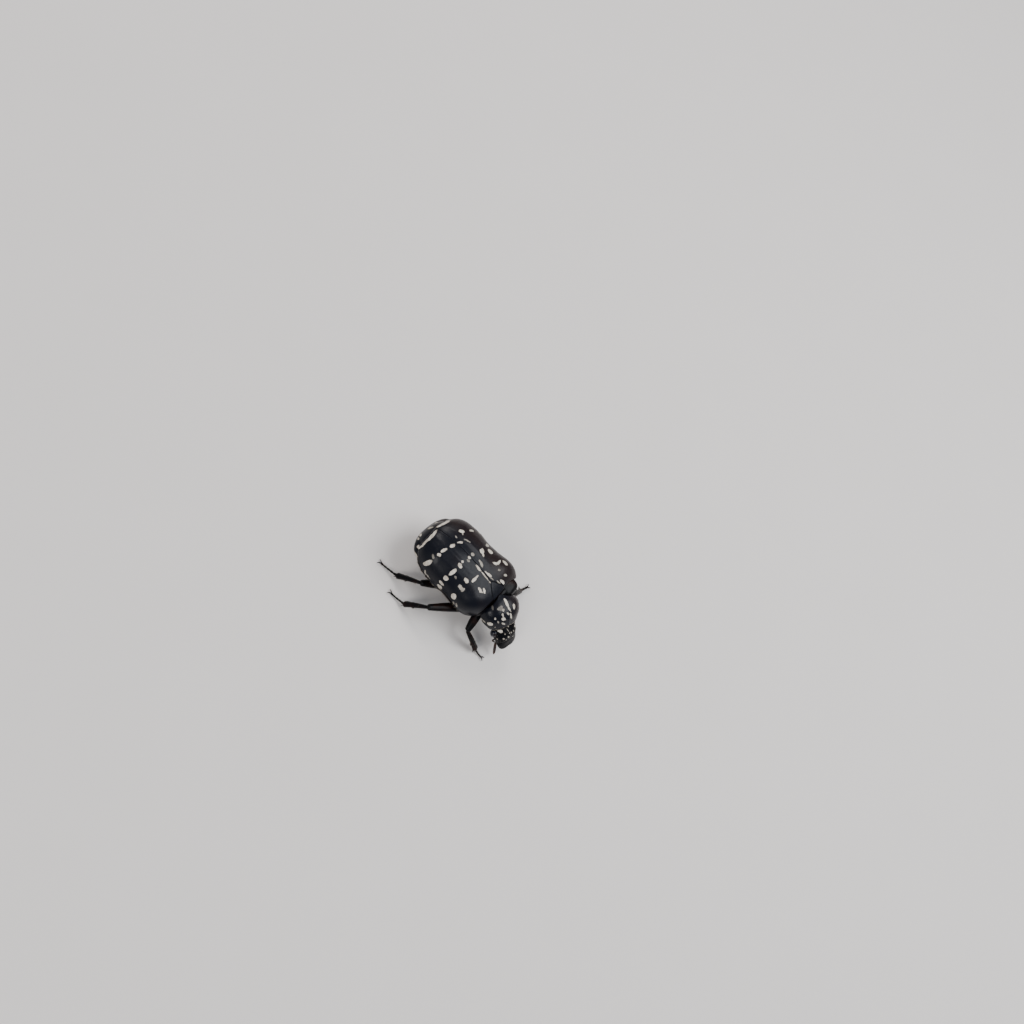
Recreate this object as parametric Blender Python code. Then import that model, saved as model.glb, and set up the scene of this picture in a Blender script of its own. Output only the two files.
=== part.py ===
"""White-spotted rose beetle, life size, standing on the floor.

+X is the beetle's left, -Y is ahead of it and +Z is up, with the floor at z = 0.
Sizes below are in millimetres, and become metres when a mesh is made.
"""

import math

import bmesh
import bpy
import numpy as np
from mathutils import Matrix, Vector

MM = 0.001

# Clearances and plate thickness
GAP = 0.30
SHELL_THICKNESS = 0.52

# Trunk: wing cases, hind thorax, abdomen and tail plate share one barrel along +Y
TRUNK_LENGTH = 7.55
TRUNK_HEIGHT = 3.20
TRUNK_FRONT = (0.15, 0.05, TRUNK_HEIGHT)
TRUNK_TURN_DEG = -2.2
TRUNK_STATIONS = (0.0, 0.04, 0.10, 0.20, 0.32, 0.43, 0.58, 0.75, 0.88, 0.95, 1.0)
TRUNK_HALF_WIDTH = (2.26, 2.54, 2.82, 3.04, 3.02, 2.94, 3.05, 2.96, 2.64, 2.28, 1.84)
TRUNK_DOME = (1.30, 1.46, 1.62, 1.80, 1.95, 2.04, 2.10, 2.00, 1.73, 1.48, 1.18)
TRUNK_BELLY = (1.20, 1.45, 1.65, 1.85, 1.95, 1.95, 1.92, 1.80, 1.58, 1.42, 1.22)
TRUNK_MARGIN_DEG = (104, 104, 102, 96, 89, 90, 94, 93, 88, 84, 78)
TRUNK_FULLNESS = 2.3
BELLY_SLIMNESS = 0.10
APEX_ROUNDING = 0.045

# Wing case details
SHOULDER_BUMP = 0.22
HIND_BUMP = 0.07
SUTURE_HALF_GAP = GAP / 2

# Scutellum, the small triangle between the wing cases
SCUTELLUM_LENGTH = 1.10
SCUTELLUM_HALF_WIDTH = 0.62
SCUTELLUM_TIP = 0.06

# Where the trunk is divided, as a share of its length
THORAX_SPAN = (-0.012, 0.405)
ABDOMEN_SPAN = (0.447, 0.915)
TAIL_SPAN = (0.955, 1.056)
TAIL_DROP = 0.35
ABDOMEN_SEGMENTS = 5
SEGMENT_GROOVE = 0.06

# Side plate of the middle thorax, which shows where the shield turns away from the wing case
SIDE_PLATE_CENTRE = (1.95, -0.42, 3.45)
SIDE_PLATE_RADII = (0.46, 0.62, 0.86)
SIDE_PLATE_ROOT = (1.20, -0.32, 3.15)
SIDE_PLATE_ROOT_RADII = (0.42, 0.95, 0.80)

# Prothorax: a smaller barrel that points ahead, dips and turns to the beetle's right
NECK_CENTRE = (0.05, -0.62, 3.38)
PRONOTUM_LENGTH = 1.98
PRONOTUM_DIP_DEG = 22.0
PRONOTUM_TURN_DEG = 18.0
PRONOTUM_STATIONS = (0.0, 0.10, 0.30, 0.55, 0.80, 1.0)
PRONOTUM_HALF_WIDTH = (1.64, 1.79, 1.84, 1.74, 1.48, 1.22)
PRONOTUM_DOME = (1.10, 1.24, 1.32, 1.24, 1.02, 0.80)
PRONOTUM_BELLY = (0.95, 1.15, 1.28, 1.20, 1.00, 0.80)
PRONOTUM_MARGIN_DEG = (96, 96, 97, 98, 98, 96)
PRONOTUM_BASE_BOW = 0.10

# Head
HEAD_LENGTH = 1.92
HEAD_DIP_DEG = 36.0
HEAD_TURN_DEG = 12.0
HEAD_STATIONS = (0.0, 0.12, 0.25, 0.40, 0.55, 0.70, 0.85, 0.93, 1.0)
HEAD_HALF_WIDTH = (0.78, 0.79, 0.82, 0.92, 0.96, 0.94, 0.85, 0.70, 0.42)
HEAD_DOME = (0.50, 0.60, 0.64, 0.60, 0.52, 0.42, 0.30, 0.24, 0.16)
HEAD_BELLY = (0.50, 0.64, 0.72, 0.70, 0.58, 0.42, 0.28, 0.22, 0.16)
CLYPEUS_NOTCH = 0.07
JAW_CENTRE = (0.38, 1.32, -0.38)
JAW_RADII = (0.26, 0.42, 0.28)
PALP_RADIUS = 0.14
PALP_PATH = ((0.40, 1.42, -0.50), (0.46, 1.66, -0.62), (0.40, 1.92, -0.66))

# Eyes, half ellipsoids set on flat seats at the sides of the head
EYE_STATION = 0.16
EYE_RADII = (0.27, 0.31, 0.35)
EYE_DROP = 0.02

# Feelers: stalk and a club of three leaves, in the head's left, along and up
FEELERS = {
    "antenna_left": {
        "side": 1, "root": (0.76, 0.84, -0.34), "elbow": (1.10, 1.08, -0.66),
        "club_start": (0.82, 1.50, -0.74), "club_end": (0.94, 2.40, -0.86),
    },
    "antenna_right": {
        "side": -1, "root": (0.76, 0.84, -0.34), "elbow": (1.14, 1.12, -0.60),
        "club_start": (0.84, 1.52, -0.68), "club_end": (1.08, 2.50, -0.72),
    },
}
FEELER_RADIUS = 0.21
CLUB_HALF_WIDTH = 0.25
CLUB_LEAVES = 3
LEAF_HALF_THICKNESS = 0.12
LEAF_SPACING = 0.13

# Legs: hip (share of barrel length, angle from the top), knee, ankle and claw root
FEMUR_HALF_WIDTH = 0.43
FEMUR_HALF_DEPTH = 0.33
TIBIA_ROOT_RADIUS = 0.24
TIBIA_END_RADIUS = 0.30
TARSUS_RADIUS = 0.25
TARSUS_END_RADIUS = 0.20
TARSUS_JOINTS = 5
CLAW_LENGTH = 0.42
CLAW_SPREAD = 0.20
HIP_RADIUS = 0.48
FRONT_TEETH = (0.62, 0.92)
REAR_TEETH = (0.58,)
TOOTH_LENGTH = 0.34
TOOTH_RADIUS = 0.16
SPUR_LENGTH = 0.50
SPUR_RADIUS = 0.12
SOLE_LEVEL = 0.0

LEGS = {
    "leg_front_right": {
        "side": -1, "front": True, "hip": (0.24, 136),
        "knee": (-3.03, -0.66, 1.90), "ankle": (-2.90, -2.52, 0.43), "toe": (-2.85, -3.40, 0.17),
    },
    "leg_front_left": {
        "side": 1, "front": True, "hip": (0.42, 146),
        "knee": (2.25, -1.50, 2.20), "ankle": (3.40, -1.79, 0.58), "toe": (4.97, -2.32, 0.17),
    },
    "leg_middle_right": {
        "side": -1, "front": False, "hip": (0.08, 150),
        "knee": (-4.35, 3.12, 2.10), "ankle": (-4.95, 4.50, 0.41), "toe": (-5.02, 5.85, 0.17),
    },
    "leg_middle_left": {
        "side": 1, "front": False, "hip": (0.13, 152),
        "knee": (3.40, 1.30, 2.05), "ankle": (4.05, 2.50, 0.40), "toe": (4.30, 4.00, 0.17),
    },
    "leg_hind_right": {
        "side": -1, "front": False, "hip": (0.36, 154),
        "knee": (-3.15, 4.90, 1.70), "ankle": (-3.70, 6.60, 0.42), "toe": (-3.85, 8.20, 0.17),
    },
    "leg_hind_left": {
        "side": 1, "front": False, "hip": (0.36, 154),
        "knee": (3.30, 3.80, 1.80), "ankle": (3.75, 5.00, 0.42), "toe": (3.55, 6.40, 0.17),
    },
}

# Grid densities
SHELL_ROWS = 26
SHELL_COLUMNS = 13
RING_UPPER = 8
RING_LOWER = 9
TUBE_SIDES = 10
SMALL_TUBE_SIDES = 8
SHARP_ANGLE_DEG = 38.0

# Finishes: colour, roughness, metallic
FINISHES = {
    "shell_black": ((0.012, 0.012, 0.016), 0.22, 0.0),
    "body_black": ((0.014, 0.012, 0.012), 0.35, 0.0),
    "leg_black": ((0.015, 0.013, 0.013), 0.30, 0.0),
    "eye_navy": ((0.006, 0.010, 0.022), 0.12, 0.0),
    "feeler_brown": ((0.060, 0.020, 0.014), 0.35, 0.0),
}


def curve_through(stations, values, at):
    """Smooth curve through a few pairs of station and value, which never overshoots them."""
    stations = np.asarray(stations, float)
    values = np.asarray(values, float)
    step = np.diff(stations)
    slope = np.diff(values) / step
    product = slope[:-1] * slope[1:]
    total = slope[:-1] + slope[1:]
    tangent = np.zeros_like(values)
    steady = product > 0
    tangent[1:-1][steady] = 2 * product[steady] / total[steady]
    tangent[0] = slope[0]
    tangent[-1] = slope[-1]
    at = np.clip(at, stations[0], stations[-1])
    k = np.clip(np.searchsorted(stations, at, side="right") - 1, 0, len(step) - 1)
    t = (at - stations[k]) / step[k]
    held = (1 + 2 * t) * (1 - t) ** 2 * values[k] + t * t * (3 - 2 * t) * values[k + 1]
    bent = t * (1 - t) ** 2 * tangent[k] + t * t * (t - 1) * tangent[k + 1]
    return held + step[k] * bent


def bump(value, centre, reach):
    """Bell of height 1 at the centre, which fades over the reach."""
    return np.exp(-(((value - centre) / reach) ** 2))


class Barrel:
    """A body part with superellipse cross-sections, given by its curves along an axis."""

    def __init__(self, length, stations, half_width, dome, belly, margin_deg, fullness):
        self.length = length
        self.stations = stations
        self.half_width = half_width
        self.dome = dome
        self.belly = belly
        self.margin_deg = margin_deg
        self.fullness = fullness
        self.origin = np.zeros(3)
        self.axes = np.eye(3)
        self.side_inset = 0.0
        self.end_rounding = 0.0

    def place(self, origin, dip_deg, turn_deg, ahead):
        """Sets where the barrel starts and where its axis points."""
        dip = math.radians(dip_deg)
        turn = Matrix.Rotation(-math.radians(turn_deg), 3, "Z")
        sense = -1.0 if ahead else 1.0
        left = turn @ Vector((1, 0, 0))
        along = turn @ Vector((0, sense * math.cos(dip), -math.sin(dip)))
        up = turn @ Vector((0, sense * math.sin(dip), math.cos(dip)))
        self.origin = np.array(origin, float)
        self.axes = np.array([left, along, up], float)

    def margin(self, station):
        """Angle from the top at which the upper plate ends, in radians."""
        return np.radians(curve_through(self.stations, self.margin_deg, station))

    def radius(self, station, angle):
        """Distance of the upper plate's skin from the barrel's axis."""
        wide = curve_through(self.stations, self.half_width, station)
        tall = curve_through(self.stations, self.dome, station)
        tall = np.where(angle > math.pi / 2, 0.9 * wide, tall)
        n = self.fullness
        across = (np.abs(np.sin(angle)) / wide) ** n
        upward = (np.abs(np.cos(angle)) / tall) ** n
        return (across + upward) ** (-1 / n) + self.relief(station, angle)

    def relief(self, station, angle):
        """Bumps of the upper plate, none on a plain barrel."""
        return 0.0 * (station + angle)

    def belly_radius(self, station, angle):
        """Distance of the underside's skin from the axis."""
        wide = curve_through(self.stations, self.half_width, station) - self.side_inset
        deep = curve_through(self.stations, self.belly, station)
        n = self.fullness - BELLY_SLIMNESS
        across = (np.abs(np.sin(angle)) / wide) ** n
        downward = (np.abs(np.cos(angle)) / np.where(angle > math.pi / 2, deep, 9.0)) ** n
        return (across + downward) ** (-1 / n)

    def place_points(self, station, angle, radius):
        """Points at a station, an angle from the top and a distance from the axis."""
        turn = np.minimum(np.abs(angle), math.pi / 2)
        late = np.clip(station, 0, None) ** 6
        along = self.length * (station - self.end_rounding * late * (1 - np.cos(turn)))
        local = np.stack([radius * np.sin(angle), along, radius * np.cos(angle)], axis=-1)
        return self.origin + local @ self.axes


class Trunk(Barrel):
    """The hind body, whose upper plate has shoulders and hind bumps."""

    def relief(self, station, angle):
        degrees = np.degrees(np.abs(angle))
        shoulder = SHOULDER_BUMP * bump(station, 0.14, 0.13) * bump(degrees, 56, 20)
        hind = HIND_BUMP * bump(station, 0.80, 0.09) * bump(degrees, 48, 18)
        return shoulder + hind


def make_trunk():
    trunk = Trunk(
        TRUNK_LENGTH, TRUNK_STATIONS, TRUNK_HALF_WIDTH, TRUNK_DOME, TRUNK_BELLY,
        TRUNK_MARGIN_DEG, TRUNK_FULLNESS,
    )
    trunk.place(TRUNK_FRONT, 0, TRUNK_TURN_DEG, ahead=False)
    trunk.side_inset = 0.06
    trunk.end_rounding = APEX_ROUNDING
    return trunk


def make_prothorax():
    prothorax = Barrel(
        PRONOTUM_LENGTH, PRONOTUM_STATIONS, PRONOTUM_HALF_WIDTH, PRONOTUM_DOME,
        PRONOTUM_BELLY, PRONOTUM_MARGIN_DEG, 2.2,
    )
    prothorax.place(NECK_CENTRE, PRONOTUM_DIP_DEG, PRONOTUM_TURN_DEG, ahead=True)
    prothorax.side_inset = 0.10
    return prothorax


def make_head_barrel(prothorax):
    """The head's barrel starts a gap ahead of the prothorax's front end."""
    front = prothorax.origin + prothorax.axes[1] * (PRONOTUM_LENGTH + GAP)
    front = front - prothorax.axes[2] * 0.04
    head = Barrel(
        HEAD_LENGTH, HEAD_STATIONS, HEAD_HALF_WIDTH, HEAD_DOME, HEAD_BELLY,
        tuple(90 for _ in HEAD_STATIONS), 2.5,
    )
    head.place(front, HEAD_DIP_DEG, HEAD_TURN_DEG, ahead=True)
    return head


def signed_volume(points, faces):
    """Volume inside the faces, negative where they point inwards."""
    total = 0.0
    for a, b, c in faces:
        total += np.dot(points[a], np.cross(points[b], points[c]))
    return total / 6


def mesh_object(name, points, faces):
    """Makes an object from millimetre points and triangles, with its faces pointing out."""
    points = np.asarray(points, float)
    if signed_volume(points, faces) < 0:
        faces = [face[::-1] for face in faces]
    mesh = bpy.data.meshes.new(name)
    mesh.from_pydata((points * MM).tolist(), [], faces)
    mesh.validate()
    mesh.shade_smooth()
    mesh.set_sharp_from_angle(angle=math.radians(SHARP_ANGLE_DEG))
    item = bpy.data.objects.new(name, mesh)
    bpy.context.scene.collection.objects.link(item)
    return item


def grid_faces(rows, columns, start=0, wrap=False):
    """Triangles between neighbouring rows of a grid of points."""
    faces = []
    last = columns if wrap else columns - 1
    for i in range(rows - 1):
        for j in range(last):
            a = start + i * columns + j
            b = start + i * columns + (j + 1) % columns
            c = b + columns
            d = a + columns
            faces += [(a, b, c), (a, c, d)]
    return faces


def plate(name, outer, inner):
    """A closed plate between two grids of points of one size."""
    rows, columns = outer.shape[:2]
    count = rows * columns
    points = np.concatenate([outer.reshape(-1, 3), inner.reshape(-1, 3)])
    faces = grid_faces(rows, columns)
    faces += [(c, b, a) for a, b, c in grid_faces(rows, columns, start=count)]
    rim = [j for j in range(columns)]
    rim += [i * columns + columns - 1 for i in range(1, rows)]
    rim += [(rows - 1) * columns + j for j in range(columns - 2, -1, -1)]
    rim += [i * columns for i in range(rows - 2, 0, -1)]
    for k, a in enumerate(rim):
        b = rim[(k + 1) % len(rim)]
        faces += [(b, a, a + count), (b, a + count, b + count)]
    return mesh_object(name, points, faces)


def rings_solid(name, rings, start_point, end_point):
    """A closed solid through rings of points, with a point at each end."""
    rings = np.asarray(rings, float)
    rows, columns = rings.shape[:2]
    points = np.concatenate([rings.reshape(-1, 3), [start_point], [end_point]])
    faces = grid_faces(rows, columns, wrap=True)
    first = rows * columns
    for j in range(columns):
        k = (j + 1) % columns
        faces.append((k, j, first))
        faces.append(((rows - 1) * columns + j, (rows - 1) * columns + k, first + 1))
    return mesh_object(name, points, faces)


def tube(name, path, half_widths, half_depths, sides=TUBE_SIDES, tip=0.5):
    """A tube along a path, with elliptical rings and domed ends."""
    path = np.asarray(path, float)
    along = np.gradient(path, axis=0)
    along /= np.linalg.norm(along, axis=1, keepdims=True)
    level = np.cross(along, (0.0, 0.0, 1.0))
    level /= np.maximum(np.linalg.norm(level, axis=1, keepdims=True), 1e-6)
    upright = np.cross(level, along)
    turn = np.arange(sides) * math.tau / sides
    rings = (
        path[:, None, :]
        + np.cos(turn)[None, :, None] * level[:, None, :] * np.asarray(half_depths)[:, None, None]
        + np.sin(turn)[None, :, None] * upright[:, None, :] * np.asarray(half_widths)[:, None, None]
    )
    start = path[0] - along[0] * half_depths[0] * tip
    end = path[-1] + along[-1] * half_depths[-1] * tip
    return rings_solid(name, rings, start, end)


def ball(name, centre, radii, axes=None, rings=7, sides=10):
    """An ellipsoid with its poles on the first axis."""
    axes = np.eye(3) if axes is None else axes
    tilt = np.arange(1, rings) * math.pi / rings
    turn = np.arange(sides) * math.tau / sides
    local = np.stack([
        np.cos(tilt)[:, None] * np.ones(sides)[None, :] * radii[0],
        np.sin(tilt)[:, None] * np.cos(turn)[None, :] * radii[1],
        np.sin(tilt)[:, None] * np.sin(turn)[None, :] * radii[2],
    ], axis=-1)
    centre = np.asarray(centre, float)
    pole = np.asarray(axes[0], float) * radii[0]
    return rings_solid(name, centre + local @ axes, centre + pole, centre - pole)


def cone(name, root, tip, radius, sides=6):
    """A spine from its root to its tip."""
    root = np.asarray(root, float)
    tip = np.asarray(tip, float)
    axis = (tip - root) / np.linalg.norm(tip - root)
    helper = np.array((1.0, 0, 0)) if abs(axis[2]) > 0.8 else np.array((0, 0, 1.0))
    level = np.cross(axis, helper)
    level /= np.linalg.norm(level)
    upright = np.cross(level, axis)
    turn = np.arange(sides) * math.tau / sides
    ring = root + radius * (np.cos(turn)[:, None] * level + np.sin(turn)[:, None] * upright)
    return rings_solid(name, [ring], root - axis * radius * 0.4, tip)


def apply_modifiers(item):
    """Replaces an object's mesh by the mesh that its modifiers give."""
    graph = bpy.context.evaluated_depsgraph_get()
    mesh = bpy.data.meshes.new_from_object(item.evaluated_get(graph))
    item.modifiers.clear()
    item.data = mesh


def keep_largest_surface(item):
    """Deletes all but the largest closed surface of a mesh."""
    shape = bmesh.new()
    shape.from_mesh(item.data)
    shape.verts.ensure_lookup_table()
    bmesh.ops.remove_doubles(shape, verts=shape.verts, dist=1e-7)
    bmesh.ops.dissolve_degenerate(shape, edges=shape.edges, dist=1e-7)
    left = set(shape.verts)
    groups = []
    while left:
        seed = left.pop()
        group = {seed}
        front = [seed]
        while front:
            vert = front.pop()
            for edge in vert.link_edges:
                other = edge.other_vert(vert)
                if other in left:
                    left.remove(other)
                    group.add(other)
                    front.append(other)
        groups.append(group)
    groups.sort(key=len, reverse=True)
    for group in groups[1:]:
        bmesh.ops.delete(shape, geom=list(group), context="VERTS")
    bmesh.ops.triangulate(shape, faces=shape.faces)
    shape.to_mesh(item.data)
    shape.free()


def combine(name, pieces, operation="UNION"):
    """Joins closed pieces into the first, or cuts them from it, with one Boolean."""
    base = pieces[0]
    base.name = name
    tools = bpy.data.collections.new(name + "_tools")
    bpy.context.scene.collection.children.link(tools)
    for piece in pieces[1:]:
        tools.objects.link(piece)
    step = base.modifiers.new("combine", "BOOLEAN")
    step.operation = operation
    step.solver = "EXACT"
    step.operand_type = "COLLECTION"
    step.collection = tools
    apply_modifiers(base)
    for piece in pieces[1:]:
        bpy.data.objects.remove(piece)
    bpy.data.collections.remove(tools)
    keep_largest_surface(base)
    return base


def cut_copy(item, cutter):
    """Cuts a copy of the cutter from an object."""
    tool = cutter.copy()
    bpy.context.scene.collection.objects.link(tool)
    return combine(item.name, [item, tool], operation="DIFFERENCE")


def shell_stations(rows):
    """Stations from 0 to 1 that lie closer together at both ends."""
    share = np.linspace(0, 1, rows)
    return 0.45 * share + 0.55 * (1 - np.cos(math.pi * share)) / 2


def scutellum_half_width(along):
    """Half width of the scutellum at a distance behind the wing cases' front edge."""
    share = np.clip(along / SCUTELLUM_LENGTH, 0, 1)
    return SCUTELLUM_TIP + (SCUTELLUM_HALF_WIDTH - SCUTELLUM_TIP) * (1 - share ** 1.3)


def make_wing_case(name, side, trunk):
    """One wing case: a plate from the suture to the side margin."""
    station = shell_stations(SHELL_ROWS)[:, None]
    along = station * TRUNK_LENGTH
    clearance = GAP * 1.2 * np.clip((SCUTELLUM_LENGTH + 0.35 - along) / 0.35, 0, 1)
    beside = scutellum_half_width(along) * (along < SCUTELLUM_LENGTH) + clearance
    edge = np.maximum(beside, SUTURE_HALF_GAP)
    share = np.linspace(0, 1, SHELL_COLUMNS)[None, :]
    skins = []
    for inset in (0.0, SHELL_THICKNESS):
        top = trunk.radius(station, 0.0 * station) - inset
        first = np.arctan2(edge, top)
        angle = first + (trunk.margin(station) - first) * share
        radius = trunk.radius(station, angle) - inset
        skins.append(trunk.place_points(station + 0 * angle, side * angle, radius))
    return plate(name, skins[0], skins[1])


def make_scutellum(trunk):
    """The triangle that fills the notch at the front of the suture."""
    along = np.linspace(0.02, SCUTELLUM_LENGTH, 8)[:, None]
    station = along / TRUNK_LENGTH
    share = np.linspace(-1, 1, 7)[None, :]
    across = scutellum_half_width(along) * share
    skins = []
    for inset in (0.03, SHELL_THICKNESS):
        top = trunk.radius(station, 0.0 * station) - inset
        angle = np.arctan2(across, top)
        radius = trunk.radius(station, np.abs(angle)) - inset
        skins.append(trunk.place_points(station + 0 * angle, angle, radius))
    return plate("scutellum", skins[0], skins[1])


def core_rings(barrel, stations, grow=0.0, scale=None, groove=None):
    """Rings of the body under a plate: set in below the plate, flush where it shows."""
    rings = []
    for k, station in enumerate(stations):
        margin = float(barrel.margin(station))
        side = float(barrel.radius(station, np.array(margin)))
        step = margin + GAP / side
        upper = np.linspace(0, step, RING_UPPER)
        lower = np.linspace(step, math.pi, RING_LOWER)
        inner = barrel.radius(station, upper) - SHELL_THICKNESS - GAP + grow
        outer = barrel.belly_radius(station, lower) + grow
        if groove is not None:
            outer = outer - groove[k]
        if scale is not None:
            inner = inner * scale[k]
            outer = outer * scale[k]
        angle = np.concatenate([upper, lower])
        radius = np.concatenate([inner, outer])
        angle = np.concatenate([angle, -angle[-2:0:-1]])
        radius = np.concatenate([radius, radius[-2:0:-1]])
        rings.append(barrel.place_points(np.full_like(angle, station), angle, radius))
    return rings


def make_core(name, barrel, stations, grow=0.0, scale=None, groove=None):
    """A closed body under a plate, between two stations of a barrel."""
    rings = core_rings(barrel, stations, grow, scale, groove)
    return rings_solid(name, rings, rings[0].mean(axis=0), rings[-1].mean(axis=0))


def make_thorax(trunk):
    """Hind thorax, drawn in behind the prothorax, with the side plate that shows on the left."""
    first, last = THORAX_SPAN
    stations = np.array([first, 0.012, 0.05, 0.12, 0.20, 0.28, 0.35, last])
    scale = np.array([0.72, 0.92, 1, 1, 1, 1, 1, 1])
    core = make_core("hind_thorax", trunk, stations, scale=scale)
    along = np.array([(0, -1, 0), (1, 0, 0), (0, 0, 1)], float)
    side = ball("side_plate", SIDE_PLATE_CENTRE, SIDE_PLATE_RADII, axes=along, rings=8, sides=14)
    for vert in side.data.vertices:
        vert.co.y = min(vert.co.y, -GAP * MM)
    root = ball("side_root", SIDE_PLATE_ROOT, SIDE_PLATE_ROOT_RADII, axes=along, rings=8, sides=12)
    return combine("hind_thorax", [core, side, root])


def make_abdomen(trunk):
    """Abdomen, with a groove between its segments."""
    first, last = ABDOMEN_SPAN
    stations = np.linspace(first, last, 2 * ABDOMEN_SEGMENTS + 1)
    groove = np.where(np.arange(len(stations)) % 2 == 0, SEGMENT_GROOVE, 0.0)
    return make_core("abdomen", trunk, stations, groove=groove)


def make_tail_plate(trunk):
    """Pygidium, the domed plate that closes the hind end below the wing cases."""
    first, last = TAIL_SPAN
    base = core_rings(trunk, [first])[0]
    arch = core_rings(trunk, [1.0])[0]
    upper = arch[:, 2] > TRUNK_HEIGHT
    base[upper, 0] = arch[upper, 0]
    base[upper, 2] = arch[upper, 2]
    tip = trunk.origin + np.array((0.0, last * TRUNK_LENGTH, -TAIL_DROP)) @ trunk.axes
    rings = []
    for share in np.sin(np.linspace(0, 1, 9)[:-1] * math.pi / 2):
        ring = tip + (base - tip) * math.sqrt(1 - share ** 2)
        ring[:, 1] = base[:, 1] + (tip[1] - base[:, 1]) * share
        rings.append(ring)
    return rings_solid("pygidium", rings, rings[0].mean(axis=0), tip)


def make_pronotum(prothorax):
    """Shield over the prothorax, bowed back in the middle of its base."""
    station = shell_stations(15)[:, None]
    share = np.linspace(-1, 1, 2 * SHELL_COLUMNS - 3)[None, :]
    angle = prothorax.margin(station) * share
    bow = PRONOTUM_BASE_BOW / PRONOTUM_LENGTH
    shifted = station - bow * np.cos(angle) * (1 - station) ** 4
    skins = []
    for inset in (0.0, SHELL_THICKNESS):
        radius = prothorax.radius(station, np.abs(angle)) - inset
        skins.append(prothorax.place_points(shifted, angle, radius))
    return plate("pronotum", skins[0], skins[1])


def make_prosternum(prothorax):
    """Underside of the prothorax, which fills the shield."""
    stations = np.array([0.03, 0.12, 0.26, 0.42, 0.58, 0.74, 0.88, 0.985])
    scale = np.array([0.84, 1, 1, 1, 1, 1, 0.98, 0.92])
    return make_core("prosternum", prothorax, stations, scale=scale)


def head_rings(head, grow=0.0):
    """Rings of the head, notched in the middle of its front edge."""
    stations = np.array([0.0, 0.06, 0.18, 0.34, 0.46, 0.52, 0.58, 0.68, 0.80, 0.90, 0.97, 1.0])
    angle = np.arange(28) * math.tau / 28
    angle = np.where(angle > math.pi, angle - math.tau, angle)
    size = np.abs(angle)
    rings = []
    for station in stations:
        upper = head.radius(station, size)
        lower = head.belly_radius(station, size)
        radius = np.where(size <= math.pi / 2, upper, lower) + grow
        across = np.abs(radius * np.sin(size))
        notch = CLYPEUS_NOTCH / HEAD_LENGTH * bump(across, 0.0, 0.35) * station ** 8
        rings.append(head.place_points(station - notch, angle, radius))
    return rings


def make_head(head):
    """Head with its jaws and palps below the front edge."""
    rings = head_rings(head)
    skull = rings_solid("head", rings, rings[0].mean(axis=0), rings[-1].mean(axis=0))
    pieces = [skull]
    for side in (-1, 1):
        mirror = np.array((side, 1, 1))
        jaw = head.origin + (JAW_CENTRE * mirror) @ head.axes
        pieces.append(ball("jaw", jaw, JAW_RADII, axes=head.axes))
        path = [head.origin + (point * mirror) @ head.axes for point in PALP_PATH]
        radii = np.array((0.95, 1.0, 0.7)) * PALP_RADIUS
        pieces.append(tube("palp", path, radii, radii, sides=6))
    return combine("head", pieces)


def make_eye(name, side, head):
    """Half an ellipsoid whose flat face lies a gap away from the head's side."""
    seat = float(head.radius(EYE_STATION, np.array(math.pi / 2))) + GAP
    local = np.array((side * seat, EYE_STATION * HEAD_LENGTH, -EYE_DROP))
    eye = ball(name, head.origin + local @ head.axes, EYE_RADII, axes=head.axes, rings=12, sides=18)
    origin = Vector(head.origin.tolist())
    outward = Vector(head.axes[0].tolist()) * side
    for vert in eye.data.vertices:
        depth = (vert.co / MM - origin).dot(outward)
        if depth < seat:
            vert.co += outward * (seat - depth) * MM
    return eye


def make_feeler(name, spec, head, head_cutter):
    """Feeler with an elbow and a club of leaves laid side by side."""
    def at(key):
        mirrored = np.array(spec[key]) * np.array((spec["side"], 1, 1))
        return head.origin + mirrored @ head.axes

    start = at("club_start")
    end = at("club_end")
    radii = (FEELER_RADIUS * 1.1, FEELER_RADIUS, FEELER_RADIUS * 0.9)
    pieces = [tube(name, [at("root"), at("elbow"), start], radii, radii, sides=SMALL_TUBE_SIDES)]
    long_axis = (end - start) / np.linalg.norm(end - start)
    flat_axis = np.cross(long_axis, head.axes[0])
    flat_axis /= np.linalg.norm(flat_axis)
    axes = np.array([long_axis, np.cross(flat_axis, long_axis), flat_axis])
    half_length = np.linalg.norm(end - start) / 2 + 0.08
    for k in range(CLUB_LEAVES):
        offset = (k - (CLUB_LEAVES - 1) / 2) * LEAF_SPACING
        centre = (start + end) / 2 + axes[1] * offset
        leaf = (half_length * (1 - 0.06 * k), LEAF_HALF_THICKNESS, CLUB_HALF_WIDTH)
        pieces.append(ball("leaf", centre, leaf, axes=axes, rings=8, sides=8))
    feeler = combine(name, pieces)
    return cut_copy(feeler, head_cutter)


def segment_path(start, end, count, lift):
    """Points from start to end, bowed upwards by the lift."""
    start = np.asarray(start, float)
    end = np.asarray(end, float)
    share = np.linspace(0, 1, count)[:, None]
    path = start + (end - start) * share
    path[:, 2] += lift * np.sin(math.pi * share[:, 0])
    return path


def tibia_spines(side, knee, ankle, front):
    """Teeth on the outer edge and spurs at the end of a tibia."""
    knee = np.asarray(knee, float)
    ankle = np.asarray(ankle, float)
    along = (ankle - knee) / np.linalg.norm(ankle - knee)
    outward = np.cross(along, (0.0, 0.0, 1.0))
    outward /= np.linalg.norm(outward)
    if outward[0] * side < 0:
        outward = -outward
    pieces = []
    for share in FRONT_TEETH if front else REAR_TEETH:
        root = knee + (ankle - knee) * share + outward * 0.12
        tip = root + outward * TOOTH_LENGTH + along * TOOTH_LENGTH * 0.6
        pieces.append(cone("tooth", root, tip, TOOTH_RADIUS))
    for spread in (-1, 1):
        root = ankle + outward * SPUR_RADIUS * spread
        tip = root + along * SPUR_LENGTH + outward * SPUR_LENGTH * 0.3 * spread
        tip[2] = max(tip[2], SPUR_RADIUS)
        pieces.append(cone("spur", root, tip, SPUR_RADIUS))
    return pieces


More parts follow.
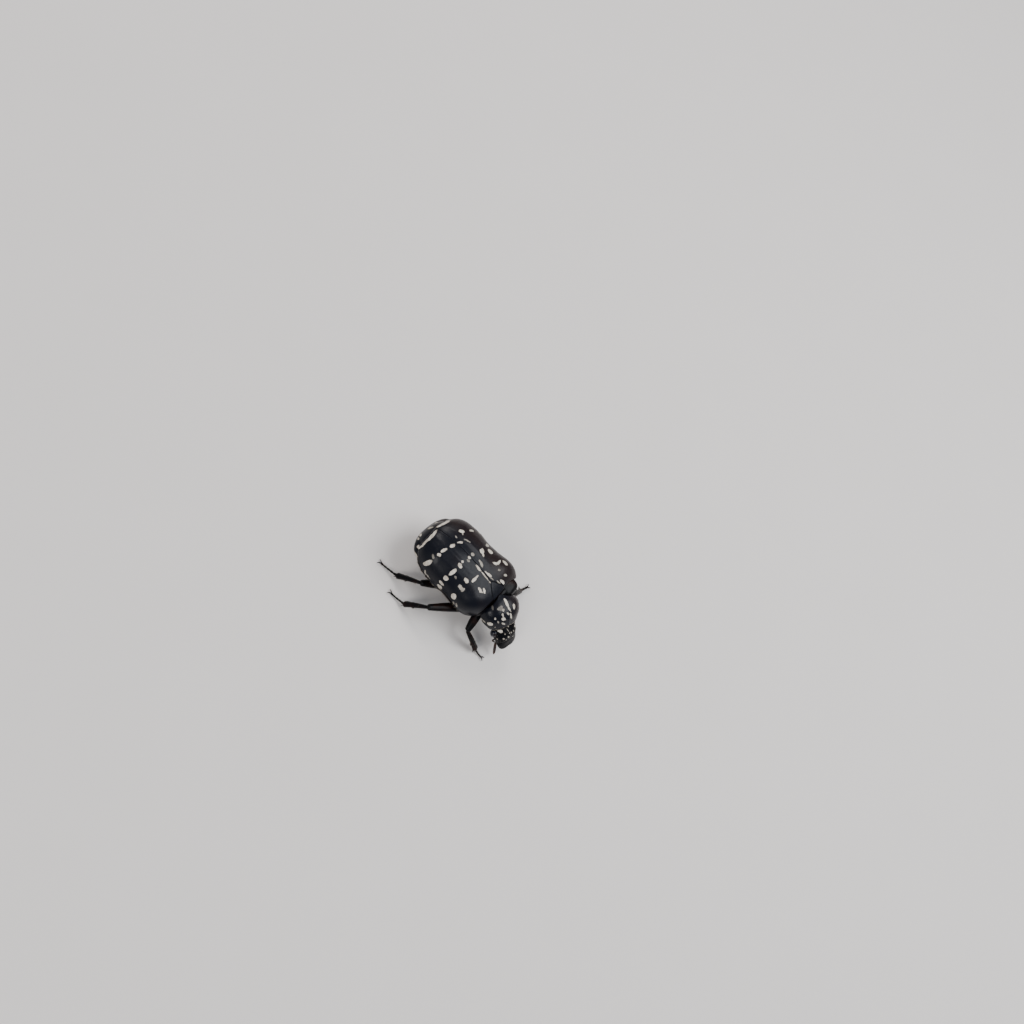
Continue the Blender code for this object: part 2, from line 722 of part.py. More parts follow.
def tarsus_pieces(ankle, toe):
    """Small joints of the foot, each wider at its far end, and two hooked claws."""
    ankle = np.asarray(ankle, float)
    toe = np.asarray(toe, float)
    share = np.linspace(0, 1, TARSUS_JOINTS + 1)
    drop = (1 - share) ** 1.8
    path = np.stack([
        ankle[0] + (toe[0] - ankle[0]) * share,
        ankle[1] + (toe[1] - ankle[1]) * share,
        toe[2] + (ankle[2] - toe[2]) * drop,
    ], axis=-1)
    pieces = []
    for k in range(TARSUS_JOINTS):
        size = TARSUS_RADIUS + (TARSUS_END_RADIUS - TARSUS_RADIUS) * k / (TARSUS_JOINTS - 1)
        start = path[k] - (path[k + 1] - path[k]) * 0.22
        joint = segment_path(start, path[k + 1], 4, 0.0)
        radii = np.array((0.66, 0.82, 1.0, 0.84)) * size
        pieces.append(tube("joint", joint, radii, radii, sides=SMALL_TUBE_SIDES))
    ahead = path[-1] - path[-2]
    ahead[2] = 0.0
    ahead /= np.linalg.norm(ahead)
    beside = np.cross(ahead, (0.0, 0.0, 1.0))
    for spread in (-1, 1):
        bend = [
            path[-1] - ahead * 0.08,
            path[-1] + ahead * CLAW_LENGTH * 0.5 + beside * spread * CLAW_SPREAD * 0.7,
            path[-1] + ahead * CLAW_LENGTH + beside * spread * CLAW_SPREAD,
        ]
        bend[1][2] += 0.06
        bend[2][2] = 0.07
        pieces.append(tube("claw", bend, (0.12, 0.10, 0.035), (0.12, 0.10, 0.035), sides=6))
    return pieces


def flatten_soles(item):
    """Lays whatever would pass below the floor flat on it."""
    for vert in item.data.vertices:
        vert.co.z = max(vert.co.z, SOLE_LEVEL * MM)


def make_leg(name, spec, barrel, cutter):
    """One leg: hip, femur, tibia with teeth and spurs, foot joints and claws."""
    side = spec["side"]
    station, degrees = spec["hip"]
    angle = np.array(math.radians(degrees))
    surface = float(barrel.belly_radius(station, angle))
    hip = barrel.place_points(np.array(station), side * angle, surface + GAP)
    knee, ankle = spec["knee"], spec["ankle"]
    femur = segment_path(hip, knee, 7, 0.0)
    profile = np.array((0.80, 0.96, 1.0, 0.96, 0.86, 0.72, 0.58))
    pieces = [
        tube(name, femur, profile * FEMUR_HALF_WIDTH, profile * FEMUR_HALF_DEPTH, tip=0.6),
        ball("hip", hip, (HIP_RADIUS, HIP_RADIUS, HIP_RADIUS * 0.9)),
    ]
    tibia = segment_path(knee, ankle, 6, 0.06)
    widths = np.linspace(TIBIA_ROOT_RADIUS, TIBIA_END_RADIUS, 6)
    pieces.append(tube("tibia", tibia, widths, widths * 0.86, sides=SMALL_TUBE_SIDES))
    pieces += tibia_spines(side, knee, ankle, spec["front"])
    pieces += tarsus_pieces(ankle, spec["toe"])
    leg = combine(name, pieces)
    leg = cut_copy(leg, cutter)
    flatten_soles(leg)
    return leg


def make_finish(name):
    """A glossy or matt finish from the table."""
    colour, roughness, metallic = FINISHES[name]
    finish = bpy.data.materials.new(name)
    finish.use_nodes = True
    shader = finish.node_tree.nodes["Principled BSDF"]
    shader.inputs["Base Color"].default_value = (*colour, 1.0)
    shader.inputs["Roughness"].default_value = roughness
    shader.inputs["Metallic"].default_value = metallic
    finish.diffuse_color = (*colour, 1.0)
    return finish


def dress(item, finish):
    """Gives an object its one material."""
    item.data.materials.clear()
    item.data.materials.append(finish)


def centre_on_floor(items):
    """Slides the whole beetle so that its box is centred over the origin."""
    corners = np.array([tuple(vert.co) for item in items for vert in item.data.vertices])
    low, high = corners.min(axis=0), corners.max(axis=0)
    shift = Matrix.Translation((-(low[0] + high[0]) / 2, -(low[1] + high[1]) / 2, 0))
    for item in items:
        item.data.transform(shift)


def clear_scene():
    """Removes whatever the scene holds."""
    for item in list(bpy.data.objects):
        bpy.data.objects.remove(item)


def main():
    clear_scene()
    finishes = {name: make_finish(name) for name in FINISHES}
    trunk = make_trunk()
    prothorax = make_prothorax()
    head = make_head_barrel(prothorax)

    shells = [
        make_wing_case("elytron_left", 1, trunk),
        make_wing_case("elytron_right", -1, trunk),
        make_scutellum(trunk),
        make_pronotum(prothorax),
        make_tail_plate(trunk),
    ]
    body = [make_thorax(trunk), make_abdomen(trunk), make_prosternum(prothorax), make_head(head)]
    eyes = [make_eye("eye_left", 1, head), make_eye("eye_right", -1, head)]

    full = np.linspace(-0.02, 0.98, 16)
    trunk_cutter = make_core("trunk_cutter", trunk, full, grow=GAP)
    chest_cutter = make_core("chest_cutter", prothorax, np.linspace(0.0, 1.0, 10), grow=GAP)
    grown = head_rings(head, grow=GAP)
    head_cutter = rings_solid("head_cutter", grown, grown[0].mean(axis=0), grown[-1].mean(axis=0))

    feelers = [
        *(make_feeler(name, spec, head, head_cutter) for name, spec in FEELERS.items()),
    ]
    legs = []
    for name, spec in LEGS.items():
        barrel = prothorax if spec["front"] else trunk
        cutter = chest_cutter if spec["front"] else trunk_cutter
        legs.append(make_leg(name, spec, barrel, cutter))
    for cutter in (trunk_cutter, chest_cutter, head_cutter):
        bpy.data.objects.remove(cutter)

    for items, finish in (
        (shells, "shell_black"), (body, "body_black"), (eyes, "eye_navy"),
        (feelers, "feeler_brown"), (legs, "leg_black"),
    ):
        for item in items:
            dress(item, finishes[finish])
    centre_on_floor(shells + body + eyes + feelers + legs)


main()
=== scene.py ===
"""Looks of a white-spotted rose beetle, life size, standing on a pale floor.

Places are worked out in millimetres in the beetle's own frame: x to its left, y from the front
edge of the wing cases towards the tail, and z up from the floor. A place on a skin is a pair of
millimetres: along the body part's axis, and across it from the midline, positive on the left.
"""

import logging
import math
from dataclasses import dataclass
from enum import Enum
from functools import cached_property

import bpy
import numpy as np
from mathutils import Matrix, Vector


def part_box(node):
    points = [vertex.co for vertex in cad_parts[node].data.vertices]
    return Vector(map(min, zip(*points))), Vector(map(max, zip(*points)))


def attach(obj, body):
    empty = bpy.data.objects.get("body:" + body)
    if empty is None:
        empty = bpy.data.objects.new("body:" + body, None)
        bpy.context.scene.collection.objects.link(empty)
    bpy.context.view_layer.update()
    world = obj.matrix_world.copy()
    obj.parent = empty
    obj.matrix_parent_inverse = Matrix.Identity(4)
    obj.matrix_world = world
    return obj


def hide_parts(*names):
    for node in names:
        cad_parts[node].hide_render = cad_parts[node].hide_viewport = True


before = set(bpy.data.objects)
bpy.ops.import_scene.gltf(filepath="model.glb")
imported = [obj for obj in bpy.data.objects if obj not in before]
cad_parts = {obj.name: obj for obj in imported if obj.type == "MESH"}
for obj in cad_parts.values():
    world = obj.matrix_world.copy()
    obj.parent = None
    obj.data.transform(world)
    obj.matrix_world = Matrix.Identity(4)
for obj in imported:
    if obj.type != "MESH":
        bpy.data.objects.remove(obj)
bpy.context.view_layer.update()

MM = 0.001
SKIN_UV_SCALE = 0.1
SCUTELLUM_CENTRE = (0.1492, 0.5981)
LEAST_LENGTH = 1e-6
SPOT_EDGE = (-0.012, 0.022)
CHALK_ROUGHNESS = 0.45
CORE_SIDES = 160
BALL_RINGS, BALL_SIDES, BALL_POLE = 26, 40, 0.03
Array = np.ndarray
Pair = tuple[float, float]
Triple = tuple[float, float, float]
Socket = bpy.types.NodeSocket
LOG = logging.getLogger("beetle")


class Side(Enum):
    """The beetle's own left or right, as the sign of x."""

    LEFT = 1
    RIGHT = -1


def eased(count: int, evenness: float) -> Array:
    """Shares from 0 to 1 that lie closer together towards both ends.

    Args:
        count: How many shares.
        evenness: 1 for even steps, 0 for steps that shrink to nothing at the ends.

    Returns:
        The shares, a blend of an even ramp and half a cosine wave.
    """
    share = np.linspace(0.0, 1.0, count)
    return evenness * share + (1 - evenness) * (1 - np.cos(math.pi * share)) / 2


def bell(value: Array, centre: float, reach: float) -> Array:
    """Bell of height 1 at the centre, which fades over the reach."""
    return np.exp(-(((value - centre) / reach) ** 2))


def soft_step(value: Array, low: float, high: float) -> Array:
    """Rises from 0 at the low value to 1 at the high one, level at both."""
    share = np.clip((value - low) / (high - low), 0.0, 1.0)
    return share * share * (3 - 2 * share)


def running_length(points: Array, axis: int) -> Array:
    """Length along a row of points from its first point, for each point.

    Args:
        points: The points.
        axis: Axis of the array along which a row runs.

    Returns:
        The length so far at each point.
    """
    steps = np.linalg.norm(np.diff(points, axis=axis), axis=-1)
    first = np.zeros_like(np.take(steps, [0], axis=axis))
    return np.concatenate([first, np.cumsum(steps, axis=axis)], axis=axis)


def unit(vectors: Array) -> Array:
    """Directions of the vectors, each of length 1."""
    return vectors / np.maximum(np.linalg.norm(vectors, axis=-1, keepdims=True), LEAST_LENGTH)


def ring_angles(sides: int) -> Array:
    """Evenly spaced angles from the top around a ring, from half a turn on the right to the left."""
    return np.arange(sides) * math.tau / sides - math.pi


def rolled(border: Array, rim: float) -> Array:
    """Drop of a plate's rolled edge: a quarter circle within a rim's width of the border."""
    return rim - np.sqrt(rim**2 - np.clip(rim - border, 0, rim) ** 2)


def drawn_in(grid: Array, share: Array) -> Array:
    """Rings shrunk about their own middles, each to its share."""
    centre = grid.mean(axis=1, keepdims=True)
    return centre + (grid - centre) * share[:, None, None]


def link(name: str, data: bpy.types.ID) -> bpy.types.Object:
    """An object of the data, linked to the scene.

    Args:
        name: Name of the object.
        data: Its mesh, camera or light.

    Returns:
        The object.
    """
    item = bpy.data.objects.new(name, data)
    bpy.context.scene.collection.objects.link(item)
    return item


def stand(name: str, data: bpy.types.ID, axes: list[Array], place: Array) -> bpy.types.Object:
    """A camera or light, turned and placed in the scene.

    Args:
        name: Name of the object.
        data: Its camera or light.
        axes: Its own right, up and back.
        place: Where it stands, in metres.

    Returns:
        The object.
    """
    item = link(name, data)
    turn = np.eye(4)
    turn[:3, :3] = np.stack(axes, axis=1)
    turn[:3, 3] = place
    item.matrix_world = Matrix(turn.tolist())
    return item


def smooth_mesh(
    name: str, points: Array, faces: list[Array], uv_name: str, places: Array,
) -> bpy.types.Mesh:
    """A smooth-shaded mesh with a UV map.

    Args:
        name: Name of the mesh.
        points: Places of the vertices in metres.
        faces: Arrays of faces, each row a face's vertex numbers.
        uv_name: Name of the UV map.
        places: Place of each vertex on the map.

    Returns:
        The mesh.
    """
    mesh = bpy.data.meshes.new(name)
    mesh.from_pydata(points.tolist(), [], [face for rows in faces for face in rows.tolist()])
    mesh.shade_smooth()
    corner = np.empty(len(mesh.loops), int)
    mesh.loops.foreach_get("vertex_index", corner)
    mesh.uv_layers.new(name=uv_name).uv.foreach_set("vector", places[corner].ravel().astype(np.float32))
    return mesh


@dataclass(frozen=True)
class Profile:
    """A smooth curve through a few pairs of station and value.

    It is the cubic that never overshoots its pairs, carried on straight past both ends and then
    averaged over the softness with a bell, so that a polished skin shows no kinks.
    """

    stations: tuple[float, ...]
    values: tuple[float, ...]
    softness: float = 0.03
    window: int = 30

    @cached_property
    def samples(self) -> tuple[Array, Array]:
        """Stations and values of the smoothed curve, closely spaced.

        Returns:
            The stations, and the curve's values there.
        """
        knots = np.array(self.stations)
        values = np.array(self.values)
        step = np.diff(knots)
        slope = np.diff(values) / step
        product = slope[:-1] * slope[1:]
        total = np.where(product > 0, slope[:-1] + slope[1:], 1.0)
        inner = np.where(product > 0, 2 * product / total, 0.0)
        tangent = np.concatenate([slope[:1], inner, slope[-1:]])
        grid = np.linspace(-0.5, 1.5, 1001)
        at = np.clip(grid, knots[0], knots[-1])
        k = np.clip(np.searchsorted(knots, at, side="right") - 1, 0, len(step) - 1)
        t = (at - knots[k]) / step[k]
        held = (1 + 2 * t) * (1 - t) ** 2 * values[k] + t * t * (3 - 2 * t) * values[k + 1]
        bent = t * (1 - t) ** 2 * tangent[k] + t * t * (t - 1) * tangent[k + 1]
        past = np.minimum(grid - knots[0], 0) * slope[0] + np.maximum(grid - knots[-1], 0) * slope[-1]
        curve = held + step[k] * bent + past
        spread = np.arange(-self.window, self.window + 1) * (grid[1] - grid[0])
        weight = np.exp(-((spread / self.softness) ** 2))
        padded = np.pad(curve, self.window, mode="reflect", reflect_type="odd")
        return grid, np.convolve(padded, weight / weight.sum(), mode="valid")

    def at(self, station: Array) -> Array:
        """Value of the curve at each station."""
        grid, values = self.samples
        return np.interp(station, grid, values)


@dataclass(frozen=True)
class Swelling:
    """A soft bump or ridge on a barrel's upper skin: a bell along times a bell across."""

    height: float
    station: float
    station_reach: float
    degrees: float
    degrees_reach: float

    def at(self, station: Array, angle: Array) -> Array:
        """Height of the swelling at a station and an angle from the top.

        Args:
            station: Station along the barrel.
            angle: Angle from the top, in radians.

        Returns:
            The height, to add to the skin's distance from the axis.
        """
        degrees = np.degrees(np.abs(angle))
        return (
            self.height
            * bell(station, self.station, self.station_reach)
            * bell(degrees, self.degrees, self.degrees_reach)
        )


@dataclass(frozen=True)
class Barrel:
    """A body part with superellipse cross-sections, given by its curves along an axis.

    Below the widest place the upper skin blends into a dome as deep as a share of the half width.
    Above it the underside runs straight up, as a superellipse far taller than the body does.
    """

    length: float
    half_width: Profile
    dome: Profile
    belly: Profile
    margin_deg: Profile
    fullness: float
    origin: Triple
    dip_deg: float = 0.0
    turn_deg: float = 0.0
    ahead: bool = True
    side_inset: float = 0.0
    end_rounding: float = 0.0
    swellings: tuple[Swelling, ...] = ()
    side_blend: float = 0.05
    under_dome: float = 0.9
    straight_side: float = 9.0

    @cached_property
    def axes(self) -> Array:
        """The barrel's own left, along and up, dipped and then turned to the beetle's right.

        Returns:
            Three unit vectors in the beetle's frame, as rows.
        """
        dip, turn = math.radians(self.dip_deg), math.radians(self.turn_deg)
        sense = -1.0 if self.ahead else 1.0
        spin = np.array([
            (math.cos(turn), math.sin(turn), 0.0),
            (-math.sin(turn), math.cos(turn), 0.0),
            (0.0, 0.0, 1.0),
        ])
        rows = np.array([
            (1.0, 0.0, 0.0),
            (0.0, sense * math.cos(dip), -math.sin(dip)),
            (0.0, sense * math.sin(dip), math.cos(dip)),
        ])
        return rows @ spin.T

    def margin(self, station: Array) -> Array:
        """Angle from the top at which the upper plate ends, in radians."""
        return np.radians(self.margin_deg.at(station))

    def radius(self, station: Array, angle: Array) -> Array:
        """Distance of the upper skin from the axis: a superellipse with its swellings.

        Args:
            station: Station along the barrel.
            angle: Angle from the top, in radians.

        Returns:
            The distance in millimetres.
        """
        wide = self.half_width.at(station)
        below = soft_step(np.abs(angle), math.pi / 2 - self.side_blend, math.pi / 2 + self.side_blend)
        tall = self.dome.at(station) * (1 - below) + self.under_dome * wide * below
        n = self.fullness
        across = (np.abs(np.sin(angle)) / wide) ** n
        upward = (np.abs(np.cos(angle)) / tall) ** n
        relief = sum(swelling.at(station, angle) for swelling in self.swellings)
        return (across + upward) ** (-1 / n) + relief

    def belly_radius(self, station: Array, angle: Array) -> Array:
        """Distance of the underside's skin from the axis, straight-sided above the middle.

        Args:
            station: Station along the barrel.
            angle: Angle from the top, in radians.

        Returns:
            The distance in millimetres.
        """
        wide = self.half_width.at(station) - self.side_inset
        deep = np.where(np.abs(angle) > math.pi / 2, self.belly.at(station), self.straight_side)
        n = self.fullness - 0.1
        across = (np.abs(np.sin(angle)) / wide) ** n
        downward = (np.abs(np.cos(angle)) / deep) ** n
        return (across + downward) ** (-1 / n)

    def points(self, station: Array, angle: Array, radius: Array) -> Array:
        """Points at a station, an angle from the top and a distance from the axis.

        Args:
            station: Station along the barrel.
            angle: Angle from the top, in radians, positive on the left.
            radius: Distance from the axis, in millimetres.

        Returns:
            The points in the beetle's frame.
        """
        turn = np.minimum(np.abs(angle), math.pi / 2)
        late = np.clip(station, 0, None) ** 6
        along = self.length * (station - self.end_rounding * late * (1 - np.cos(turn)))
        local = np.stack([radius * np.sin(angle), along, radius * np.cos(angle)], axis=-1)
        return self.local(local)

    def local(self, point: Array | Triple) -> Array:
        """A point given by the barrel's own left, along and up, in the beetle's frame."""
        return np.array(self.origin) + np.asarray(point, float) @ self.axes


STATIONS = (0.0, 0.04, 0.10, 0.20, 0.32, 0.43, 0.58, 0.75, 0.88, 0.95, 1.0)
TRUNK = Barrel(
    length=7.55,
    half_width=Profile(STATIONS, (2.26, 2.54, 2.82, 3.04, 3.02, 2.94, 3.05, 2.96, 2.64, 2.28, 1.84)),
    dome=Profile(STATIONS, (1.30, 1.46, 1.62, 1.80, 1.95, 2.04, 2.10, 2.00, 1.73, 1.48, 1.18)),
    belly=Profile(STATIONS, (1.20, 1.45, 1.65, 1.85, 1.95, 1.95, 1.92, 1.80, 1.58, 1.42, 1.22)),
    margin_deg=Profile(STATIONS, (104, 104, 102, 96, 89, 90, 94, 93, 88, 84, 78)),
    fullness=2.3,
    origin=(0.15, 0.05, 3.20),
    turn_deg=-2.2,
    ahead=False,
    side_inset=0.06,
    end_rounding=0.045,
    swellings=(
        Swelling(0.22, 0.14, 0.13, 56, 20),
        Swelling(0.07, 0.80, 0.09, 48, 18),
        Swelling(0.030, 0.62, 0.26, 24, 4.5),
        Swelling(0.026, 0.64, 0.26, 45, 5.0),
        Swelling(-0.040, 0.66, 0.22, 14, 8.0),
    ),
)

SHIELD_STATIONS = (0.0, 0.10, 0.30, 0.55, 0.80, 1.0)
PROTHORAX = Barrel(
    length=1.98,
    half_width=Profile(SHIELD_STATIONS, (1.64, 1.79, 1.84, 1.74, 1.48, 1.22)),
    dome=Profile(SHIELD_STATIONS, (1.10, 1.24, 1.32, 1.24, 1.02, 0.80)),
    belly=Profile(SHIELD_STATIONS, (0.95, 1.15, 1.28, 1.20, 1.00, 0.80)),
    margin_deg=Profile(SHIELD_STATIONS, (96, 96, 97, 98, 98, 96)),
    fullness=2.2,
    origin=(0.05, -0.62, 3.38),
    dip_deg=22.0,
    turn_deg=18.0,
    side_inset=0.10,
)

HEAD_GAP = 0.30
HEAD_SOFTNESS = 0.018
HEAD_STATIONS = (-0.30, -0.12, 0.0, 0.12, 0.25, 0.40, 0.55, 0.70, 0.83, 0.92, 0.97, 1.0)
HEAD = Barrel(
    length=1.94,
    half_width=Profile(
        HEAD_STATIONS,
        (0.80, 0.98, 1.06, 1.11, 1.10, 1.03, 0.97, 0.95, 0.87, 0.72, 0.56, 0.36),
        HEAD_SOFTNESS,
    ),
    dome=Profile(
        HEAD_STATIONS,
        (0.46, 0.55, 0.61, 0.66, 0.66, 0.60, 0.50, 0.39, 0.30, 0.24, 0.19, 0.10),
        HEAD_SOFTNESS,
    ),
    belly=Profile(
        HEAD_STATIONS,
        (0.50, 0.60, 0.68, 0.74, 0.74, 0.68, 0.56, 0.41, 0.29, 0.21, 0.15, 0.08),
        HEAD_SOFTNESS,
    ),
    margin_deg=Profile((0.0, 1.0), (90, 90)),
    fullness=2.5,
    origin=tuple(PROTHORAX.local((0.0, PROTHORAX.length + HEAD_GAP, -0.04))),
    dip_deg=36.0,
    turn_deg=12.0,
)


@dataclass(frozen=True)
class Spot:
    """A pale patch on a skin, an ellipse with its place, size and turn in the skin's plane: mostly a chalky
    spot, and in a few places a painted reflection.
    """

    along: float
    across: float
    long: float
    broad: float
    turn_deg: float = 0.0
    chalk: float = 1.0

    def depth(self, skin: Array) -> Array:
        """How far inside the spot each point lies, in millimetres, negative outside it.

        Args:
            skin: Places on the skin.

        Returns:
            The depth at each place.
        """
        turn = math.radians(self.turn_deg)
        along, across = skin[..., 0] - self.along, skin[..., 1] - self.across
        lengthwise = along * math.cos(turn) + across * math.sin(turn)
        crosswise = across * math.cos(turn) - along * math.sin(turn)
        ratio = np.hypot(lengthwise / (self.long / 2), crosswise / (self.broad / 2))
        return (1 - ratio) * self.broad / 2


def spot_marks(skin: Array, spots: tuple[Spot, ...]) -> tuple[Array, Array]:
    """Depth inside the nearest spot and that spot's chalk, for each point of a skin.

    Args:
        skin: Places on the skin.
        spots: The skin's spots.

    Returns:
        The depth in millimetres, negative outside every spot, and the chalk from 0 to 1.
    """
    depth = np.full(skin.shape[:-1], -1.0)
    chalk = np.zeros_like(depth)
    for spot in spots:
        inside = spot.depth(skin)
        chalk = np.where(inside > depth, spot.chalk, chalk)
        depth = np.maximum(depth, inside)
    return depth, chalk


RIGHT_WING_SPOTS = (
    Spot(2.86, -1.64, 0.44, 0.34, 4), Spot(2.44, -0.84, 0.44, 0.15, -85),
    Spot(2.43, -1.12, 0.48, 0.26, -88), Spot(1.48, -1.30, 0.44, 0.22, 11),
    Spot(1.16, -1.04, 0.45, 0.20, 27), Spot(1.24, -1.30, 0.32, 0.12, -30, 0.8),
    Spot(2.57, -3.38, 0.60, 0.46, 62), Spot(2.75, -2.37, 0.60, 0.25, 6, 0.7),
    Spot(2.50, -2.36, 0.22, 0.40, 0, 0.5), Spot(2.80, -0.14, 0.52, 0.19, 6),
    Spot(2.00, -0.15, 1.30, 0.075, 0, 0.9), Spot(3.66, -2.13, 0.24, 0.16, 13, 0.3),
    Spot(1.83, -3.87, 0.40, 0.17, 54, 0.45), Spot(2.10, -3.96, 0.35, 0.14, 47, 0.45),
    Spot(3.93, -3.85, 0.54, 0.32, 9, 0.9), Spot(4.08, -3.38, 0.54, 0.22, 6, 0.9),
    Spot(4.17, -2.77, 0.45, 0.40, 8), Spot(4.15, -2.01, 0.78, 0.31, -82), Spot(4.09, -1.20, 0.40, 0.31, 27),
    Spot(4.15, -0.81, 0.21, 0.17, -32, 0.9), Spot(3.98, -0.13, 0.27, 0.22, -20),
    Spot(3.89, -0.36, 0.28, 0.20, -7, 0.35), Spot(3.15, -4.05, 1.35, 0.07, 0, 0.7),
    Spot(6.11, -2.94, 0.86, 0.39, -76), Spot(6.19, -2.19, 0.36, 0.16, 45, 0.3),
    Spot(5.96, -1.77, 0.31, 0.27, 20), Spot(5.92, -1.23, 0.52, 0.25, -74),
    Spot(5.65, -0.42, 0.48, 0.25, -71), Spot(5.61, -3.93, 0.50, 0.15, 49, 0.6),
    Spot(5.30, -4.02, 0.60, 0.08, 10, 0.6), Spot(7.37, -1.28, 1.95, 0.15, 90),
    Spot(7.33, -0.78, 0.80, 0.20, 88, 0.9), Spot(6.85, -3.40, 0.30, 0.16, 20, 0.5),
)

LEFT_WING_SPOTS = (
    Spot(3.93, 0.32, 0.34, 0.29, -31, 0.6), Spot(3.51, 1.24, 0.48, 0.42, 75),
    Spot(3.26, 1.06, 0.34, 0.20, 31), Spot(2.91, 1.98, 0.53, 0.41, -19, 0.95),
    Spot(3.41, 2.34, 0.50, 0.28, -73, 0.6), Spot(2.88, 0.34, 0.64, 0.24, 22, 0.55),
    Spot(1.95, 1.43, 0.50, 0.20, -30, 0.95), Spot(1.81, 1.73, 0.60, 0.17, 90),
    Spot(1.43, 2.15, 0.46, 0.25, 25, 0.95), Spot(1.37, 1.23, 0.19, 0.16, -15, 0.35),
    Spot(0.66, 1.42, 0.26, 0.16, -33, 0.7), Spot(0.44, 0.84, 0.52, 0.26, -12, 0.9),
    Spot(0.66, 0.52, 0.30, 0.10, -14, 0.5), Spot(2.01, 0.15, 0.52, 0.11, -8, 0.9),
    Spot(1.72, 0.22, 0.46, 0.26, -14), Spot(1.40, 0.19, 0.35, 0.11, -12, 0.6),
    Spot(5.34, 0.31, 0.44, 0.17, -51, 0.9), Spot(5.01, 0.87, 0.42, 0.11, -17, 0.6),
    Spot(5.88, 1.18, 0.47, 0.30, -38), Spot(5.67, 1.06, 0.25, 0.12, 46, 0.6),
    Spot(5.26, 2.06, 0.44, 0.20, -56, 0.7), Spot(5.92, 0.43, 0.20, 0.14, 28, 0.45),
    Spot(7.36, 0.88, 1.45, 0.17, -78), Spot(7.30, 1.25, 0.60, 0.22, -80, 0.9),
    Spot(6.60, 3.20, 0.45, 0.26, 20, 0.9), Spot(5.30, 3.70, 0.50, 0.28, 5, 0.9),
    Spot(4.30, 3.65, 0.46, 0.30, -12, 0.9), Spot(2.60, 4.00, 0.90, 0.07, 0, 0.7),
    Spot(4.60, 3.00, 0.34, 0.26, 30, 0.8),
)

SHIELD_SPOTS_AND_PAINTED_SHEENS = (
    Spot(0.28, 0.17, 0.34, 0.25, -9), Spot(0.56, 0.19, 0.42, 0.15, 13), Spot(0.57, 0.75, 0.36, 0.22, -42),
    Spot(0.47, -0.39, 0.18, 0.14, 87, 0.65), Spot(0.76, -0.58, 0.23, 0.16, 12, 0.85),
    Spot(1.07, -0.56, 0.46, 0.22, 57), Spot(1.52, -0.56, 0.35, 0.14, 47, 0.8),
    Spot(1.14, 0.20, 0.48, 0.18, 7, 0.95), Spot(0.82, -0.06, 0.21, 0.14, 43, 0.8),
    Spot(0.79, -1.27, 0.20, 0.14, 38, 0.75), Spot(1.17, -1.06, 0.24, 0.12, 30, 0.45),
    Spot(0.84, -2.44, 0.56, 0.12, 50, 0.65), Spot(1.19, -1.77, 0.52, 0.31, 68),
    # Painted reflections: the next two are faint pale patches where sky light is painted in, not spots.
    Spot(0.34, -0.54, 0.52, 0.20, 84, 0.28), Spot(0.07, -1.21, 0.26, 0.18, -7, 0.12),
    Spot(1.25, 1.80, 0.46, 0.24, -65, 0.95), Spot(0.84, 2.42, 0.56, 0.12, -50, 0.65),
    Spot(1.62, -1.30, 0.15, 0.11, 0, 0.45),
)

HEAD_SPOTS = (
    Spot(-0.21, -0.73, 0.42, 0.27, 63), Spot(0.19, 0.86, 0.30, 0.17, 32, 0.7),
    Spot(0.00, -0.08, 0.46, 0.055, 12, 0.6), Spot(-0.29, 0.08, 0.15, 0.10, 15, 0.6),
    Spot(0.62, -0.16, 0.22, 0.12, 16, 0.65), Spot(0.54, -0.66, 0.20, 0.11, 33, 0.6),
    Spot(0.47, -1.20, 0.16, 0.12, 4, 0.5), Spot(0.34, 0.19, 0.16, 0.09, 32, 0.6),
    Spot(0.17, -0.44, 0.13, 0.08, 29, 0.45), Spot(0.40, 0.52, 0.12, 0.07, 20, 0.5),
    Spot(0.95, 0.42, 0.14, 0.09, 20, 0.4), Spot(0.80, -0.42, 0.10, 0.07, 0, 0.45),
)

SEGMENT_SPOTS = (Spot(-0.42, 1.04, 0.30, 0.07, 0, 0.75), Spot(-0.42, 1.30, 0.22, 0.05, 0, 0.6))

TAIL_SPOTS = (
    Spot(3.10, -0.42, 0.36, 0.24, -30), Spot(3.05, -0.76, 0.24, 0.15, -30, 0.7),
    Spot(3.61, 0.43, 0.42, 0.22, 43, 0.7), Spot(3.30, -1.35, 0.36, 0.30, 20, 0.9),
    Spot(3.30, 1.35, 0.36, 0.30, -20, 0.9), Spot(2.86, -1.86, 0.26, 0.24, 0, 0.8),
    Spot(2.86, 1.86, 0.26, 0.24, 0, 0.8), Spot(2.62, -0.55, 0.32, 0.36, 0, 0.85),
    Spot(2.62, 0.55, 0.32, 0.36, 0, 0.85),
)


